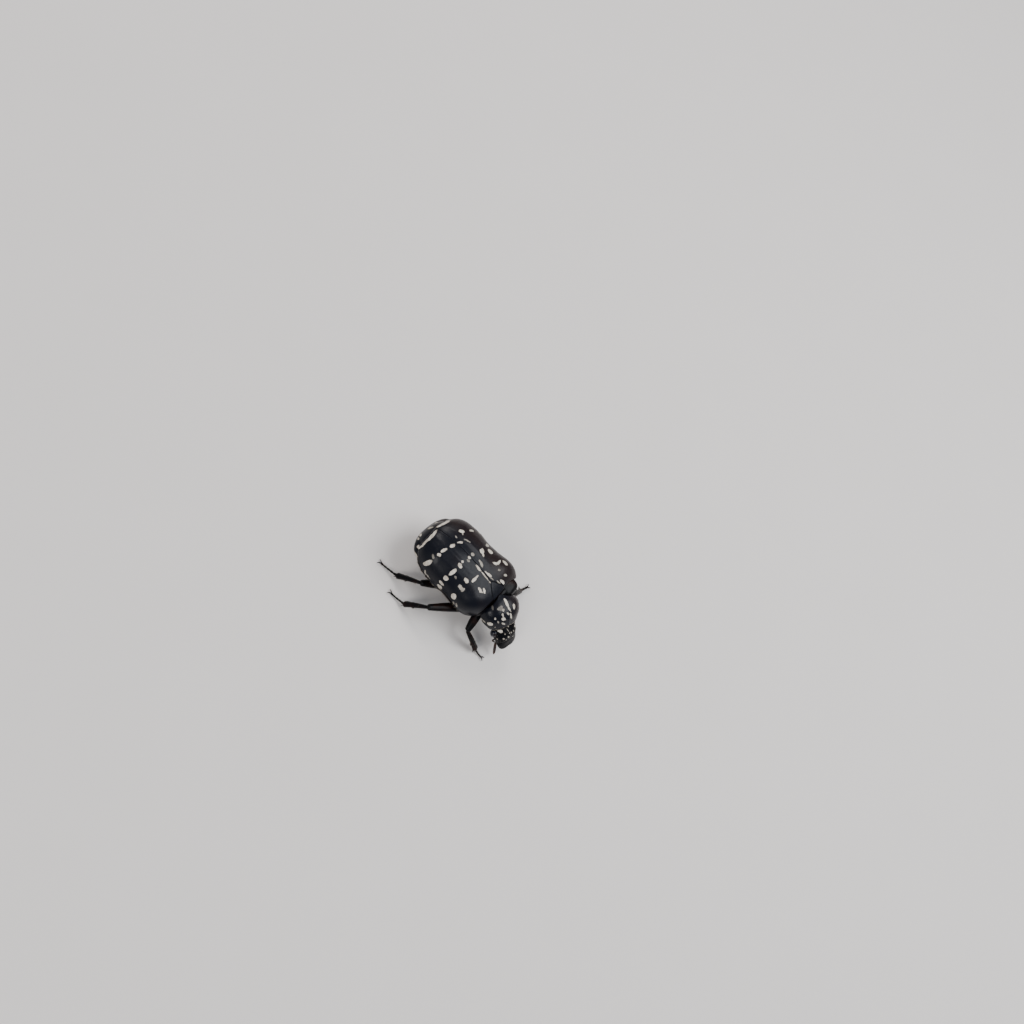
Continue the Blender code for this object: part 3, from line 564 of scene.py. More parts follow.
class Form:
    """One piece's mesh while it is gathered from closed surfaces."""

    def __init__(self, name: str) -> None:
        """Starts an empty form with the piece's name.

        Args:
            name: Name of the piece.
        """
        self.name = name
        self.points: list[Array] = []
        self.quads: list[Array] = []
        self.triangles: list[Array] = []
        self.skin: list[Array] = []
        self.marks: list[Array] = []
        self.count = 0

    def gather(self, points: Array, quads: Array, triangles: Array, skin: Array, marks: Array) -> None:
        """Adds one closed surface and turns its faces outwards.

        Args:
            points: Places of the vertices in millimetres.
            quads: Rows of four vertex numbers.
            triangles: Rows of three vertex numbers.
            skin: Place of each vertex on the skin.
            marks: Spot depth and chalk of each vertex.
        """
        split = np.concatenate([quads[:, [0, 1, 2]], quads[:, [0, 2, 3]], triangles])
        a, b, c = (points[split[:, k]] for k in range(3))
        if np.einsum("ij,ij->", a, np.cross(b, c)) < 0:
            quads, triangles = quads[:, ::-1], triangles[:, ::-1]
        self.points.append(points)
        self.quads.append(quads + self.count)
        self.triangles.append(triangles + self.count)
        self.skin.append(skin)
        self.marks.append(marks)
        self.count += len(points)

    def rings(self, grid: Array, skin: Array | None = None, spots: tuple[Spot, ...] = ()) -> "Form":
        """Adds a surface through rings of points, closed by a point at each end.

        Args:
            grid: Points of the rings, ring by ring.
            skin: Places on the skin, or None where the skin is unrolled by length.
            spots: Spots on this skin.

        Returns:
            The form itself, so that calls can follow each other.
        """
        rows, columns = grid.shape[:2]
        if skin is None:
            skin = np.stack([running_length(grid, 0), running_length(grid, 1)], axis=-1)
        number = np.arange(rows * columns).reshape(rows, columns)
        after = np.roll(number, -1, axis=1)
        quads = np.stack([number[:-1], after[:-1], after[1:], number[1:]], axis=-1).reshape(-1, 4)
        first, last = rows * columns, rows * columns + 1
        start = np.stack([after[0], number[0], np.full(columns, first)], axis=-1)
        end = np.stack([number[-1], after[-1], np.full(columns, last)], axis=-1)
        points = np.concatenate([grid.reshape(-1, 3), grid[0].mean(0)[None], grid[-1].mean(0)[None]])
        places = np.concatenate([skin.reshape(-1, 2), skin[0].mean(0)[None], skin[-1].mean(0)[None]])
        marks = np.stack(spot_marks(places, spots), axis=-1)
        self.gather(points, quads, np.concatenate([start, end]), places, marks)
        return self

    def plate(self, outer: Array, inner: Array, skin: Array, spots: tuple[Spot, ...] = ()) -> "Form":
        """Adds a closed plate between two grids, which meet along the outer grid's border.

        Args:
            outer: Points of the upper skin.
            inner: Points of the lower skin, of the same size.
            skin: Places of the grid's points on the skin.
            spots: Spots on the upper skin.

        Returns:
            The form itself.
        """
        rows, columns = outer.shape[:2]
        number = np.arange(rows * columns).reshape(rows, columns)
        below = number.copy()
        below[1:-1, 1:-1] += rows * columns
        faces = []
        for grid, order in ((number, (0, 1, 2, 3)), (below, (3, 2, 1, 0))):
            corners = [grid[:-1, :-1], grid[:-1, 1:], grid[1:, 1:], grid[1:, :-1]]
            faces.append(np.stack([corners[k] for k in order], axis=-1).reshape(-1, 4))
        points = np.concatenate([outer.reshape(-1, 3), inner.reshape(-1, 3)])
        used = np.concatenate([number.ravel(), below[1:-1, 1:-1].ravel()])
        renumber = np.full(2 * rows * columns, -1)
        renumber[used] = np.arange(len(used))
        quads = renumber[np.concatenate(faces)]
        places = np.concatenate([skin.reshape(-1, 2)] * 2)[used]
        depth, chalk = spot_marks(places, spots)
        depth[rows * columns:] = -1.0
        marks = np.stack([depth, chalk], axis=-1)
        self.gather(points[used], quads, np.zeros((0, 3), int), places, marks)
        return self

    def ball(
        self, centre: Array, radii: Triple, axes: Array | None = None, squareness: float = 2.0,
    ) -> "Form":
        """Adds an ellipsoid, or a squarer form where the squareness is above 2.

        Args:
            centre: Its middle.
            radii: Half its size along each axis.
            axes: Its own axes as rows, or None for those of the beetle's frame.
            squareness: Power of the superellipse: 2 is an ellipse.

        Returns:
            The form itself.
        """
        axes = np.eye(3) if axes is None else axes
        tilt = np.linspace(BALL_POLE, math.pi - BALL_POLE, BALL_RINGS)[:, None]
        turn = (np.arange(BALL_SIDES) * math.tau / BALL_SIDES)[None, :]
        local = np.stack([
            np.cos(tilt) * np.ones_like(turn), np.sin(tilt) * np.cos(turn), np.sin(tilt) * np.sin(turn),
        ], axis=-1)
        size = (np.abs(local) ** squareness).sum(-1, keepdims=True) ** (-1 / squareness)
        return self.rings(np.asarray(centre) + (local * size * np.array(radii)) @ axes)

    def make(self, shift: Array) -> bpy.types.Object:
        """Makes the object, with its skin as a UV map and its spots as attributes.

        Args:
            shift: Where the beetle's own frame starts in the model's frame, in millimetres.

        Returns:
            The new object, smooth-shaded and linked to the scene.
        """
        points = (np.concatenate(self.points) + shift) * MM
        places = np.concatenate(self.skin) * SKIN_UV_SCALE
        mesh = smooth_mesh(self.name, points, self.quads + self.triangles, "Skin", places)
        marks = np.concatenate(self.marks).astype(np.float32)
        for column, title in enumerate(("spot_depth", "spot_chalk")):
            layer = mesh.attributes.new(title, "FLOAT", "POINT")
            layer.data.foreach_set("value", np.ascontiguousarray(marks[:, column]))
        return link(self.name, mesh)


def spline(knots: Array | list[Triple], count: int) -> Array:
    """Points on a smooth curve through the knots, with tangents parallel to their neighbours' chords.

    Args:
        knots: Points that the curve passes through.
        count: How many points to give.

    Returns:
        The points, from the first knot to the last.
    """
    knots = np.asarray(knots, float)
    padded = np.concatenate([2 * knots[:1] - knots[1:2], knots, 2 * knots[-1:] - knots[-2:-1]])
    at = np.linspace(0, len(knots) - 1, count)
    k = np.minimum(at.astype(int), len(knots) - 2)
    t = (at - k)[:, None]
    a, b, c, d = (padded[k + j] for j in range(4))
    bend, twist = 2 * a - 5 * b + 4 * c - d, 3 * b - a - 3 * c + d
    return 0.5 * (2 * b + (c - a) * t + bend * t**2 + twist * t**3)


def sweep(
    path: Array, half_width: Array, half_depth: Array, sides: int, blunt: float = 2.0, ridge: float = 0.0,
) -> Array:
    """Rings of an elliptical profile carried along a path.

    The profile stands square to the path, with its width upright. It shrinks towards each end as a
    superellipse does towards its pole, and a cosine of five waves around it raises its ridges.

    Args:
        path: Points of the centre line.
        half_width: Half width at each point.
        half_depth: Half depth at each point.
        sides: Points around each ring.
        blunt: Power of the ends' rounding: 2 is a circle, more is flatter.
        ridge: Height of the ridges as a share of the profile.

    Returns:
        The grid of ring points.
    """
    along = unit(np.gradient(path, axis=0))
    level = unit(np.cross(along, (0.0, 0.0, 1.0)))
    upright = np.cross(level, along)
    run = running_length(path, 0)
    reach = np.minimum(run / half_width[0], (run[-1] - run) / half_width[-1])
    dome = np.clip(1 - (1 - np.clip(reach, 0, 1)) ** blunt, 0.0004, 1) ** (1 / blunt)
    half_width, half_depth = half_width * dome, half_depth * dome
    turn = np.arange(sides) * math.tau / sides
    swell = 1 + ridge * np.cos(5 * turn)
    sideways = (swell * np.cos(turn))[None, :, None] * level[:, None] * half_depth[:, None, None]
    upwards = (swell * np.sin(turn))[None, :, None] * upright[:, None] * half_width[:, None, None]
    return path[:, None] + sideways + upwards


class Value:
    """A shader socket that Python's operators turn into Math nodes."""

    def __init__(self, shader: "Shader", socket: Socket) -> None:
        """Wraps an output socket of the shader."""
        self.shader = shader
        self.socket = socket

    def join(self, operation: str, first: "Value | float", second: "Value | float") -> "Value":
        """A Math node of the two values."""
        made = self.shader.node("ShaderNodeMath", {"operation": operation}, {0: first, 1: second})
        return Value(self.shader, made.outputs[0])

    def __add__(self, other: "Value | float") -> "Value":
        """This plus the other."""
        return self.join("ADD", self, other)

    def __radd__(self, other: float) -> "Value":
        """The number plus this."""
        return self.join("ADD", other, self)

    def __sub__(self, other: "Value | float") -> "Value":
        """This less the other."""
        return self.join("SUBTRACT", self, other)

    def __rsub__(self, other: float) -> "Value":
        """The number less this."""
        return self.join("SUBTRACT", other, self)

    def __mul__(self, other: "Value | float") -> "Value":
        """This times the other."""
        return self.join("MULTIPLY", self, other)

    def __rmul__(self, other: float) -> "Value":
        """The number times this."""
        return self.join("MULTIPLY", other, self)

    def step(self, low: float, high: float) -> "Value":
        """Rises smoothly from 0 at the low value to 1 at the high one.

        Args:
            low: Value at which the rise starts.
            high: Value at which it ends.

        Returns:
            The share from 0 to 1.
        """
        made = self.shader.node(
            "ShaderNodeMapRange", {"interpolation_type": "SMOOTHSTEP", "clamp": True},
            {"Value": self, "From Min": low, "From Max": high, "To Min": 0.0, "To Max": 1.0},
        )
        return Value(self.shader, made.outputs["Result"])


class Shader:
    """One material's nodes, made through a single method."""

    def __init__(self, name: str) -> None:
        """Starts a material with a Principled shader.

        Args:
            name: Name of the material.
        """
        self.material = bpy.data.materials.new(name)
        self.material.use_nodes = True
        self.tree = self.material.node_tree
        self.surface = self.tree.nodes["Principled BSDF"]

    def node(self, kind: str, settings: dict | None = None, inputs: dict | None = None) -> bpy.types.Node:
        """Makes any node.

        Args:
            kind: Blender's name for the node's type.
            settings: Its settings, set first.
            inputs: Values or links of its sockets, by name or number.

        Returns:
            The node.
        """
        made = self.tree.nodes.new(kind)
        for key, setting in (settings or {}).items():
            setattr(made, key, setting)
        for key, value in (inputs or {}).items():
            self.feed(made.inputs[key], value)
        return made

    def feed(self, socket: Socket, value: object) -> None:
        """Links a value to a socket, or sets the socket to a number or colour.

        Args:
            socket: An input socket.
            value: A value, an output socket, a number or a colour.
        """
        if isinstance(value, Value):
            self.tree.links.new(value.socket, socket)
        elif isinstance(value, Socket):
            self.tree.links.new(value, socket)
        else:
            socket.default_value = value

    def set(self, **sockets: object) -> None:
        """Feeds the Principled shader's sockets, with underscores for spaces."""
        for name, value in sockets.items():
            self.feed(self.surface.inputs[name.replace("_", " ")], value)

    def place(self) -> Socket:
        """Object coordinates, in metres."""
        return self.node("ShaderNodeTexCoord").outputs["Object"]

    def leftward(self) -> Value:
        """Distance to the beetle's left, in millimetres."""
        parts = self.node("ShaderNodeSeparateXYZ", {}, {"Vector": self.place()})
        return Value(self, parts.outputs["X"]) * (1 / MM)

    def skin(self, stretch: Triple = (1.0, 1.0, 1.0)) -> Socket:
        """Place on the skin in millimetres, stretched along or across.

        Args:
            stretch: How much denser the place runs along, across and through the skin.

        Returns:
            The place, for a texture's vector.
        """
        uv = self.node("ShaderNodeUVMap", {"uv_map": "Skin"}).outputs["UV"]
        scale = tuple(value / SKIN_UV_SCALE for value in stretch)
        return self.node("ShaderNodeMapping", {}, {"Vector": uv, "Scale": scale}).outputs["Vector"]

    def mark(self, title: str) -> Value:
        """A number that the mesh carries at each vertex."""
        made = self.node("ShaderNodeAttribute", {"attribute_name": title, "attribute_type": "GEOMETRY"})
        return Value(self, made.outputs["Fac"])

    def noise(self, size_mm: float, detail: float) -> Value:
        """Soft random variation whose patches are about the given size.

        Args:
            size_mm: Size of the patches, in millimetres.
            detail: How many finer layers it has.

        Returns:
            The variation, from 0 to 1 and mostly near 0.5.
        """
        made = self.node("ShaderNodeTexNoise", {}, {
            "Vector": self.place(), "Scale": 1 / (size_mm * MM), "Detail": detail,
        })
        return Value(self, made.outputs["Fac"])

    def cells(self, size_mm: float, vector: Socket | None = None, scatter: float = 1.0) -> Value:
        """Distance to the middle of the nearest of many small cells, in cell widths.

        Args:
            size_mm: Size of the cells, in millimetres.
            vector: Place in millimetres, or None for the object's own coordinates.
            scatter: 1 for cells at random, 0 for a regular net.

        Returns:
            The distance.
        """
        scale = 1 / (size_mm * MM) if vector is None else 1 / size_mm
        made = self.node("ShaderNodeTexVoronoi", {"feature": "F1"}, {
            "Vector": self.place() if vector is None else vector, "Scale": scale, "Randomness": scatter,
        })
        return Value(self, made.outputs["Distance"])

    def blend(self, mask: Value, below: object, above: object) -> Socket:
        """A colour between two, by the mask."""
        made = self.node("ShaderNodeMix", {"data_type": "RGBA"}, {0: mask, 6: below, 7: above})
        return made.outputs[2]

    def bump(self, height: Value, depth_mm: float, under: Socket | None = None) -> Socket:
        """A surface normal that the height bends, over any normal below it.

        Args:
            height: Height from 0 to 1.
            depth_mm: Depth of the full height, in millimetres.
            under: The normal below it, if any.

        Returns:
            The bent normal.
        """
        inputs = {"Height": height, "Distance": depth_mm * MM, "Strength": 1.0}
        if under is not None:
            inputs["Normal"] = under
        return self.node("ShaderNodeBump", {}, inputs).outputs["Normal"]


def rgb(red: float, green: float, blue: float) -> tuple[float, float, float, float]:
    """An opaque colour."""
    return (red, green, blue, 1.0)


@dataclass(frozen=True)
class ShellFinish:
    """Polished black chitin, finely pitted, with chalky cream spots, a colour that shifts a little at
    random, and a painted red-brown reflection that warms the left side.
    """

    name: str = "polished_shell"
    dark: Triple = (0.0040, 0.0047, 0.0085)
    # warm: red-brown of the random patches, and of the painted reflection on the left side.
    warm: Triple = (0.0130, 0.0066, 0.0066)
    cream: Triple = (0.78, 0.72, 0.62)
    cream_shade: Triple = (0.50, 0.44, 0.36)
    roughness: float = 0.34
    pit_spacing: float = 0.15
    pit_depth: float = 0.007
    streaked: bool = True
    speckle: float = 0.0
    gloss: float = 0.15
    coat: float = 0.05
    coat_roughness: float = 0.10
    spot_growth: float = 0.012
    chalk_height: float = 0.012
    lattice_depth: float = 0.0035

    def build(self) -> bpy.types.Material:
        """Makes the material.

        Returns:
            The material.
        """
        shader = Shader(self.name)
        skin = shader.skin((1.0, 2.2, 1.0)) if self.streaked else shader.skin()
        edge = shader.noise(0.22, 4.0) * 0.16 - 0.08
        spot = (shader.mark("spot_depth") + edge + self.spot_growth).step(*SPOT_EDGE)
        flecks = shader.noise(0.055, 2.0).step(0.30, 0.52)
        chalk = spot * shader.mark("spot_chalk") * (0.72 + 0.28 * flecks)
        # Painted reflection: the left side is blended towards the warm colour as a painted red-brown
        # reflection; the noise adds random tone.
        tint = shader.noise(2.4, 2.0) * 0.5 + shader.leftward().step(-0.8, 2.6) * 0.3
        ground = shader.blend(tint.step(0.26, 0.56), rgb(*self.dark), rgb(*self.warm))
        pits = shader.cells(self.pit_spacing, skin)
        if self.speckle:
            dots = (1 - pits.step(0.10, 0.22)) * shader.noise(0.5, 2.0).step(0.46, 0.56) * self.speckle
            ground = shader.blend(dots, ground, rgb(*self.cream_shade))
        tone = shader.noise(0.30, 3.0).step(0.30, 0.70)
        cream = shader.blend(tone, rgb(*self.cream_shade), rgb(*self.cream))
        colour = shader.blend(chalk, ground, cream)
        matt = shader.noise(0.7, 4.0) * 0.14 - 0.07
        roughness = self.roughness + matt + chalk * CHALK_ROUGHNESS
        wells = pits.step(0.0, 0.42)
        lattice = shader.noise(0.035, 3.0)
        normal = shader.bump(lattice, self.lattice_depth)
        normal = shader.bump(wells, self.pit_depth, normal)
        normal = shader.bump(chalk * (0.6 + 0.4 * lattice), self.chalk_height, normal)
        shader.set(
            Base_Color=colour, Roughness=roughness, Normal=normal, Specular_IOR_Level=self.gloss,
            Coat_Weight=(1 - chalk) * self.coat, Coat_Roughness=self.coat_roughness,
        )
        return shader.material


@dataclass(frozen=True)
class LimbFinish:
    """Black chitin of legs and underside: scratched, pitted, and red-brown where it is thin."""

    name: str = "limb_chitin"
    dark: Triple = (0.0040, 0.0036, 0.0042)
    warm: Triple = (0.0150, 0.0060, 0.0048)
    roughness: float = 0.30
    pit_spacing: float = 0.10
    pit_depth: float = 0.007
    lattice_depth: float = 0.004
    gloss: float = 0.10
    pale: Triple = (0.55, 0.49, 0.41)

    def build(self) -> bpy.types.Material:
        """Makes the material.

        Returns:
            The material.
        """
        shader = Shader(self.name)
        tint = shader.noise(0.9, 3.0)
        ground = shader.blend(tint.step(0.45, 0.72), rgb(*self.dark), rgb(*self.warm))
        edge = shader.noise(0.16, 3.0) * 0.12 - 0.06
        chalk = (shader.mark("spot_depth") + edge).step(*SPOT_EDGE) * shader.mark("spot_chalk")
        colour = shader.blend(chalk, ground, rgb(*self.pale))
        pits = shader.cells(self.pit_spacing)
        lattice = shader.noise(0.05, 3.0)
        normal = shader.bump(lattice, self.lattice_depth)
        normal = shader.bump(pits.step(0.0, 0.40), self.pit_depth, normal)
        roughness = self.roughness + shader.noise(0.4, 3.0) * 0.16 - 0.08 + chalk * CHALK_ROUGHNESS
        shader.set(Base_Color=colour, Roughness=roughness, Normal=normal, Specular_IOR_Level=self.gloss)
        return shader.material


@dataclass(frozen=True)
class EyeFinish:
    """A very glossy dark navy eye with a fine net of facets."""

    name: str = "eye_gloss"
    navy: Triple = (0.003, 0.005, 0.013)
    brown: Triple = (0.020, 0.010, 0.008)
    facet: float = 0.030
    facet_depth: float = 0.004
    gloss: float = 0.25
    coat_roughness: float = 0.05

    def build(self) -> bpy.types.Material:
        """Makes the material.

        Returns:
            The material.
        """
        shader = Shader(self.name)
        net = shader.cells(self.facet, scatter=0.25)
        tint = shader.noise(0.5, 2.0)
        colour = shader.blend(tint.step(0.50, 0.75), rgb(*self.navy), rgb(*self.brown))
        normal = shader.bump(1 - net.step(0.1, 0.7), self.facet_depth)
        shader.set(
            Base_Color=colour, Roughness=0.14 + tint * 0.06, Normal=normal,
            Coat_Weight=0.2 + tint * 0.15, Coat_Roughness=self.coat_roughness,
            Specular_IOR_Level=self.gloss,
        )
        return shader.material


@dataclass(frozen=True)
class FeelerFinish:
    """Satin dark red-brown of the feelers, finely pitted."""

    name: str = "feeler_satin"
    dark: Triple = (0.012, 0.0065, 0.006)
    warm: Triple = (0.050, 0.018, 0.011)
    pit_spacing: float = 0.05
    pit_depth: float = 0.005

    def build(self) -> bpy.types.Material:
        """Makes the material.

        Returns:
            The material.
        """
        shader = Shader(self.name)
        tint = shader.noise(0.35, 3.0)
        colour = shader.blend(tint.step(0.35, 0.65), rgb(*self.dark), rgb(*self.warm))
        normal = shader.bump(shader.cells(self.pit_spacing).step(0.0, 0.5), self.pit_depth)
        shader.set(Base_Color=colour, Roughness=0.38 + tint * 0.12, Normal=normal)
        return shader.material


@dataclass(frozen=True)
class HairFinish:
    """Pale straw-coloured bristles, darker at random."""

    name: str = "pale_bristle"
    straw: Triple = (0.62, 0.55, 0.43)
    shade: Triple = (0.30, 0.24, 0.17)

    def build(self) -> bpy.types.Material:
        """Makes the material.

        Returns:
            The material.
        """
        shader = Shader(self.name)
        tint = shader.noise(0.25, 2.0).step(0.35, 0.65)
        colour = shader.blend(tint, rgb(*self.shade), rgb(*self.straw))
        shader.set(Base_Color=colour, Roughness=0.45 + tint * 0.1)
        return shader.material


@dataclass(frozen=True)
class FloorFinish:
    """A pale warm studio floor with the faintest grain."""

    name: str = "pale_floor"
    pale: Triple = (0.80, 0.76, 0.73)
    shade: Triple = (0.77, 0.73, 0.70)

    def build(self) -> bpy.types.Material:
        """Makes the material.

        Returns:
            The material.
        """
        shader = Shader(self.name)
        grain = shader.noise(9.0, 4.0)
        colour = shader.blend(grain, rgb(*self.pale), rgb(*self.shade))
        shader.set(Base_Color=colour, Roughness=0.75 + grain * 0.1)
        return shader.material


@dataclass(frozen=True)
class Finishes:
    """The model's materials, each built once."""

    shell: bpy.types.Material
    shield: bpy.types.Material
    brow: bpy.types.Material
    limb: bpy.types.Material
    eye: bpy.types.Material
    feeler: bpy.types.Material
    hair: bpy.types.Material


def build_finishes() -> Finishes:
    """Builds every material of the model.

    Returns:
        The materials.
    """
    return Finishes(
        shell=ShellFinish().build(),
        shield=ShellFinish(
            name="pitted_shield", streaked=False, pit_spacing=0.12, pit_depth=0.013, roughness=0.28,
        ).build(),
        brow=ShellFinish(
            name="speckled_brow", streaked=False, pit_spacing=0.10, pit_depth=0.012, roughness=0.30,
            speckle=0.34, dark=(0.0030, 0.0032, 0.0045), warm=(0.0080, 0.0045, 0.0042), gloss=0.04,
        ).build(),
        limb=LimbFinish().build(),
        eye=EyeFinish().build(),
        feeler=FeelerFinish().build(),
        hair=HairFinish().build(),
    )


class Maker:
    """Turns forms into finished pieces on the model's one body."""

    def __init__(self) -> None:
        """Finds where the beetle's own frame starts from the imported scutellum."""
        low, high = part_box("scutellum")
        middle = (low + high) / (2 * MM)
        self.shift = np.array([middle.x - SCUTELLUM_CENTRE[0], middle.y - SCUTELLUM_CENTRE[1], 0.0])

    def dress(self, form: Form, finish: bpy.types.Material, slot: str, *nodes: str) -> bpy.types.Object:
        """Makes a form's object, gives it its finish, and sets it on the body.

        Args:
            form: The gathered mesh.
            finish: Its material.
            slot: Not used.
            nodes: The solids that it stands for.

        Returns:
            The finished piece.
        """
        piece = form.make(self.shift)
        piece.data.materials.append(finish)
        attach(piece, "root")
        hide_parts(*nodes)
        LOG.info("%s: %d faces", form.name, len(piece.data.polygons))
        return piece


@dataclass
class WingCases:
    """The two wing cases and the scutellum between their roots, with the cases' ends a little askew.

    A bead's place is its middle and its reach, in from the edge. The shoulder's reach is a station,
    and its share runs from the suture to the side margin.
    """

    rows: int = 236
    columns: int = 132
    thickness: float = 0.16
    rows_evenness: float = 0.55
    columns_evenness: float = 0.62
    rim: float = 0.06
    suture_half_gap: float = 0.004
    suture_tightness: float = 2.6
    rear_skew: float = 0.030
    skew_from: float = 0.80
    shoulder_push: Triple = (0.46, -0.46, 0.0)
    shoulder_reach: float = 0.30
    shoulder_share: Pair = (0.20, 0.66)
    scutellum_length: float = 1.22
    scutellum_half_width: float = 0.80
    scutellum_tip: float = 0.03
    scutellum_root: float = 0.10
    scutellum_sunk: float = 0.015
    scutellum_thickness: float = 0.10
    groove: float = 0.035
    side_bead: float = 0.030
    side_bead_place: Pair = (0.13, 0.07)
    suture_bead: float = 0.014
    suture_bead_place: Pair = (0.10, 0.06)

    def scutellum_edge(self, along: Array) -> Array:
        """Half width of the scutellum behind its root: it narrows to its tip a little past straight."""
        share = np.clip(along / self.scutellum_length, 0, 1)
        return self.scutellum_tip + (self.scutellum_half_width - self.scutellum_tip) * (1 - share**1.25)

    def wing(self, side: Side) -> Form:
        """One wing case: a thin plate from the suture to the side margin, with rolled edges.

        The upper skin is the trunk's, on a grid of stations and of angles from the suture to the
        margin. It drops as a quarter circle within a rim's width of the border, and bells raise a
        bead along the suture and the side. The lower skin lies a thickness below. Smooth steps
        along and across weigh the push of the left shoulder, which the photograph shows.

        Args:
            side: Which of the two.

        Returns:
            The plate's form.
        """
        station = eased(self.rows, self.rows_evenness)[:, None]
        along = station * TRUNK.length
        beside = self.scutellum_edge(along) + self.groove
        edge = np.where(along < self.scutellum_length, beside, self.suture_half_gap)
        edge = np.maximum(edge, self.suture_half_gap)
        top = TRUNK.radius(station, 0.0 * station)
        first = np.arctan2(edge, top)
        share = eased(self.columns, self.columns_evenness)[None, :]
        angle = first + (TRUNK.margin(station) - first) * share
        radius = TRUNK.radius(station, angle)
        bare = TRUNK.points(station + 0 * angle, side.value * angle, radius)
        run = running_length(bare, 1)
        inward = run[:, -1:] - run
        ends = np.minimum(station, 1.0 - station) * TRUNK.length
        border = np.minimum(np.minimum(run * self.suture_tightness, inward), ends)
        bead = self.side_bead * bell(inward, *self.side_bead_place)
        bead = bead + self.suture_bead * bell(run, *self.suture_bead_place)
        outer = radius - rolled(border, self.rim) + bead * soft_step(border, 0.0, 0.1)
        inner = radius - self.rim - (self.thickness - self.rim) * soft_step(border, 0.0, 0.3)
        skin_across = side.value * (run + first * top)
        skin = np.stack([along + 0 * angle, skin_across], axis=-1)
        spots = LEFT_WING_SPOTS if side is Side.LEFT else RIGHT_WING_SPOTS
        skew = self.rear_skew * share**2 * soft_step(station, self.skew_from, 1.0)
        drawn = station - side.value * skew
        places = [TRUNK.points(drawn, side.value * angle, r) for r in (outer, inner)]
        if side is Side.LEFT:
            weight = soft_step(station, self.shoulder_reach, 0.0) * soft_step(share, *self.shoulder_share)
            places = [grid + weight[..., None] * np.array(self.shoulder_push) for grid in places]
        return Form(f"wing_case_{side.name.lower()}").plate(places[0], places[1], skin, spots)

    def scutellum(self) -> Form:
        """The triangle between the wing cases' roots, a little lower than they are.

        Its grid runs along the trunk's skin and across from edge to edge, and drops as a quarter
        circle at the border.

        Returns:
            The form.
        """
        along = np.linspace(-self.scutellum_root, self.scutellum_length - 0.02, 60)[:, None]
        station = along / TRUNK.length
        share = eased(61, 0.7)[None, :] * 2 - 1
        across = self.scutellum_edge(along) * share
        top = TRUNK.radius(station, 0.0 * station)
        angle = np.arctan2(across, top)
        radius = TRUNK.radius(station, angle) - self.scutellum_sunk
        border = np.minimum(self.scutellum_edge(along) - np.abs(across), along + self.scutellum_root)
        rim = self.rim * 0.8
        deep = rim + self.scutellum_thickness * soft_step(border, 0.0, 0.2)
        outer = TRUNK.points(station + 0 * angle, angle, radius - rolled(border, rim))
        inner = TRUNK.points(station + 0 * angle, angle, radius - deep)
        skin = np.stack([along + 0 * angle, across], axis=-1)
        return Form("scutellum_plate").plate(outer, inner, skin)

    def make(self, maker: Maker, finishes: Finishes) -> None:
        """Makes and dresses the three plates.

        Args:
            maker: Turns forms into pieces.
            finishes: The model's materials.
        """
        maker.dress(self.wing(Side.LEFT), finishes.shell, "shell_black", "elytron_left")
        maker.dress(self.wing(Side.RIGHT), finishes.shell, "shell_black", "elytron_right")
        maker.dress(self.scutellum(), finishes.shell, "shell_black", "scutellum")


def core_grid(barrel: Barrel, station: Array, inset: float, relief: Array) -> Array:
    """Rings of the body under a plate: set in below the plate and full where it shows.

    Args:
        barrel: The body part.
        station: Station of each ring.
        inset: Depth below the plate's skin.
        relief: Height added to the shown skin, on the grid of rings and angles.

    Returns:
        The grid of ring points.
    """
    angle = ring_angles(CORE_SIDES)[None, :]
    station = station[:, None]
    size = np.abs(angle)
    shown = soft_step(size, barrel.margin(station) - 0.02, barrel.margin(station) + 0.12)
    hidden = barrel.radius(station, size) - inset
    bare = barrel.belly_radius(station, size) + relief
    radius = hidden * (1 - shown) + bare * shown
    return barrel.points(station + 0 * angle, angle, radius)


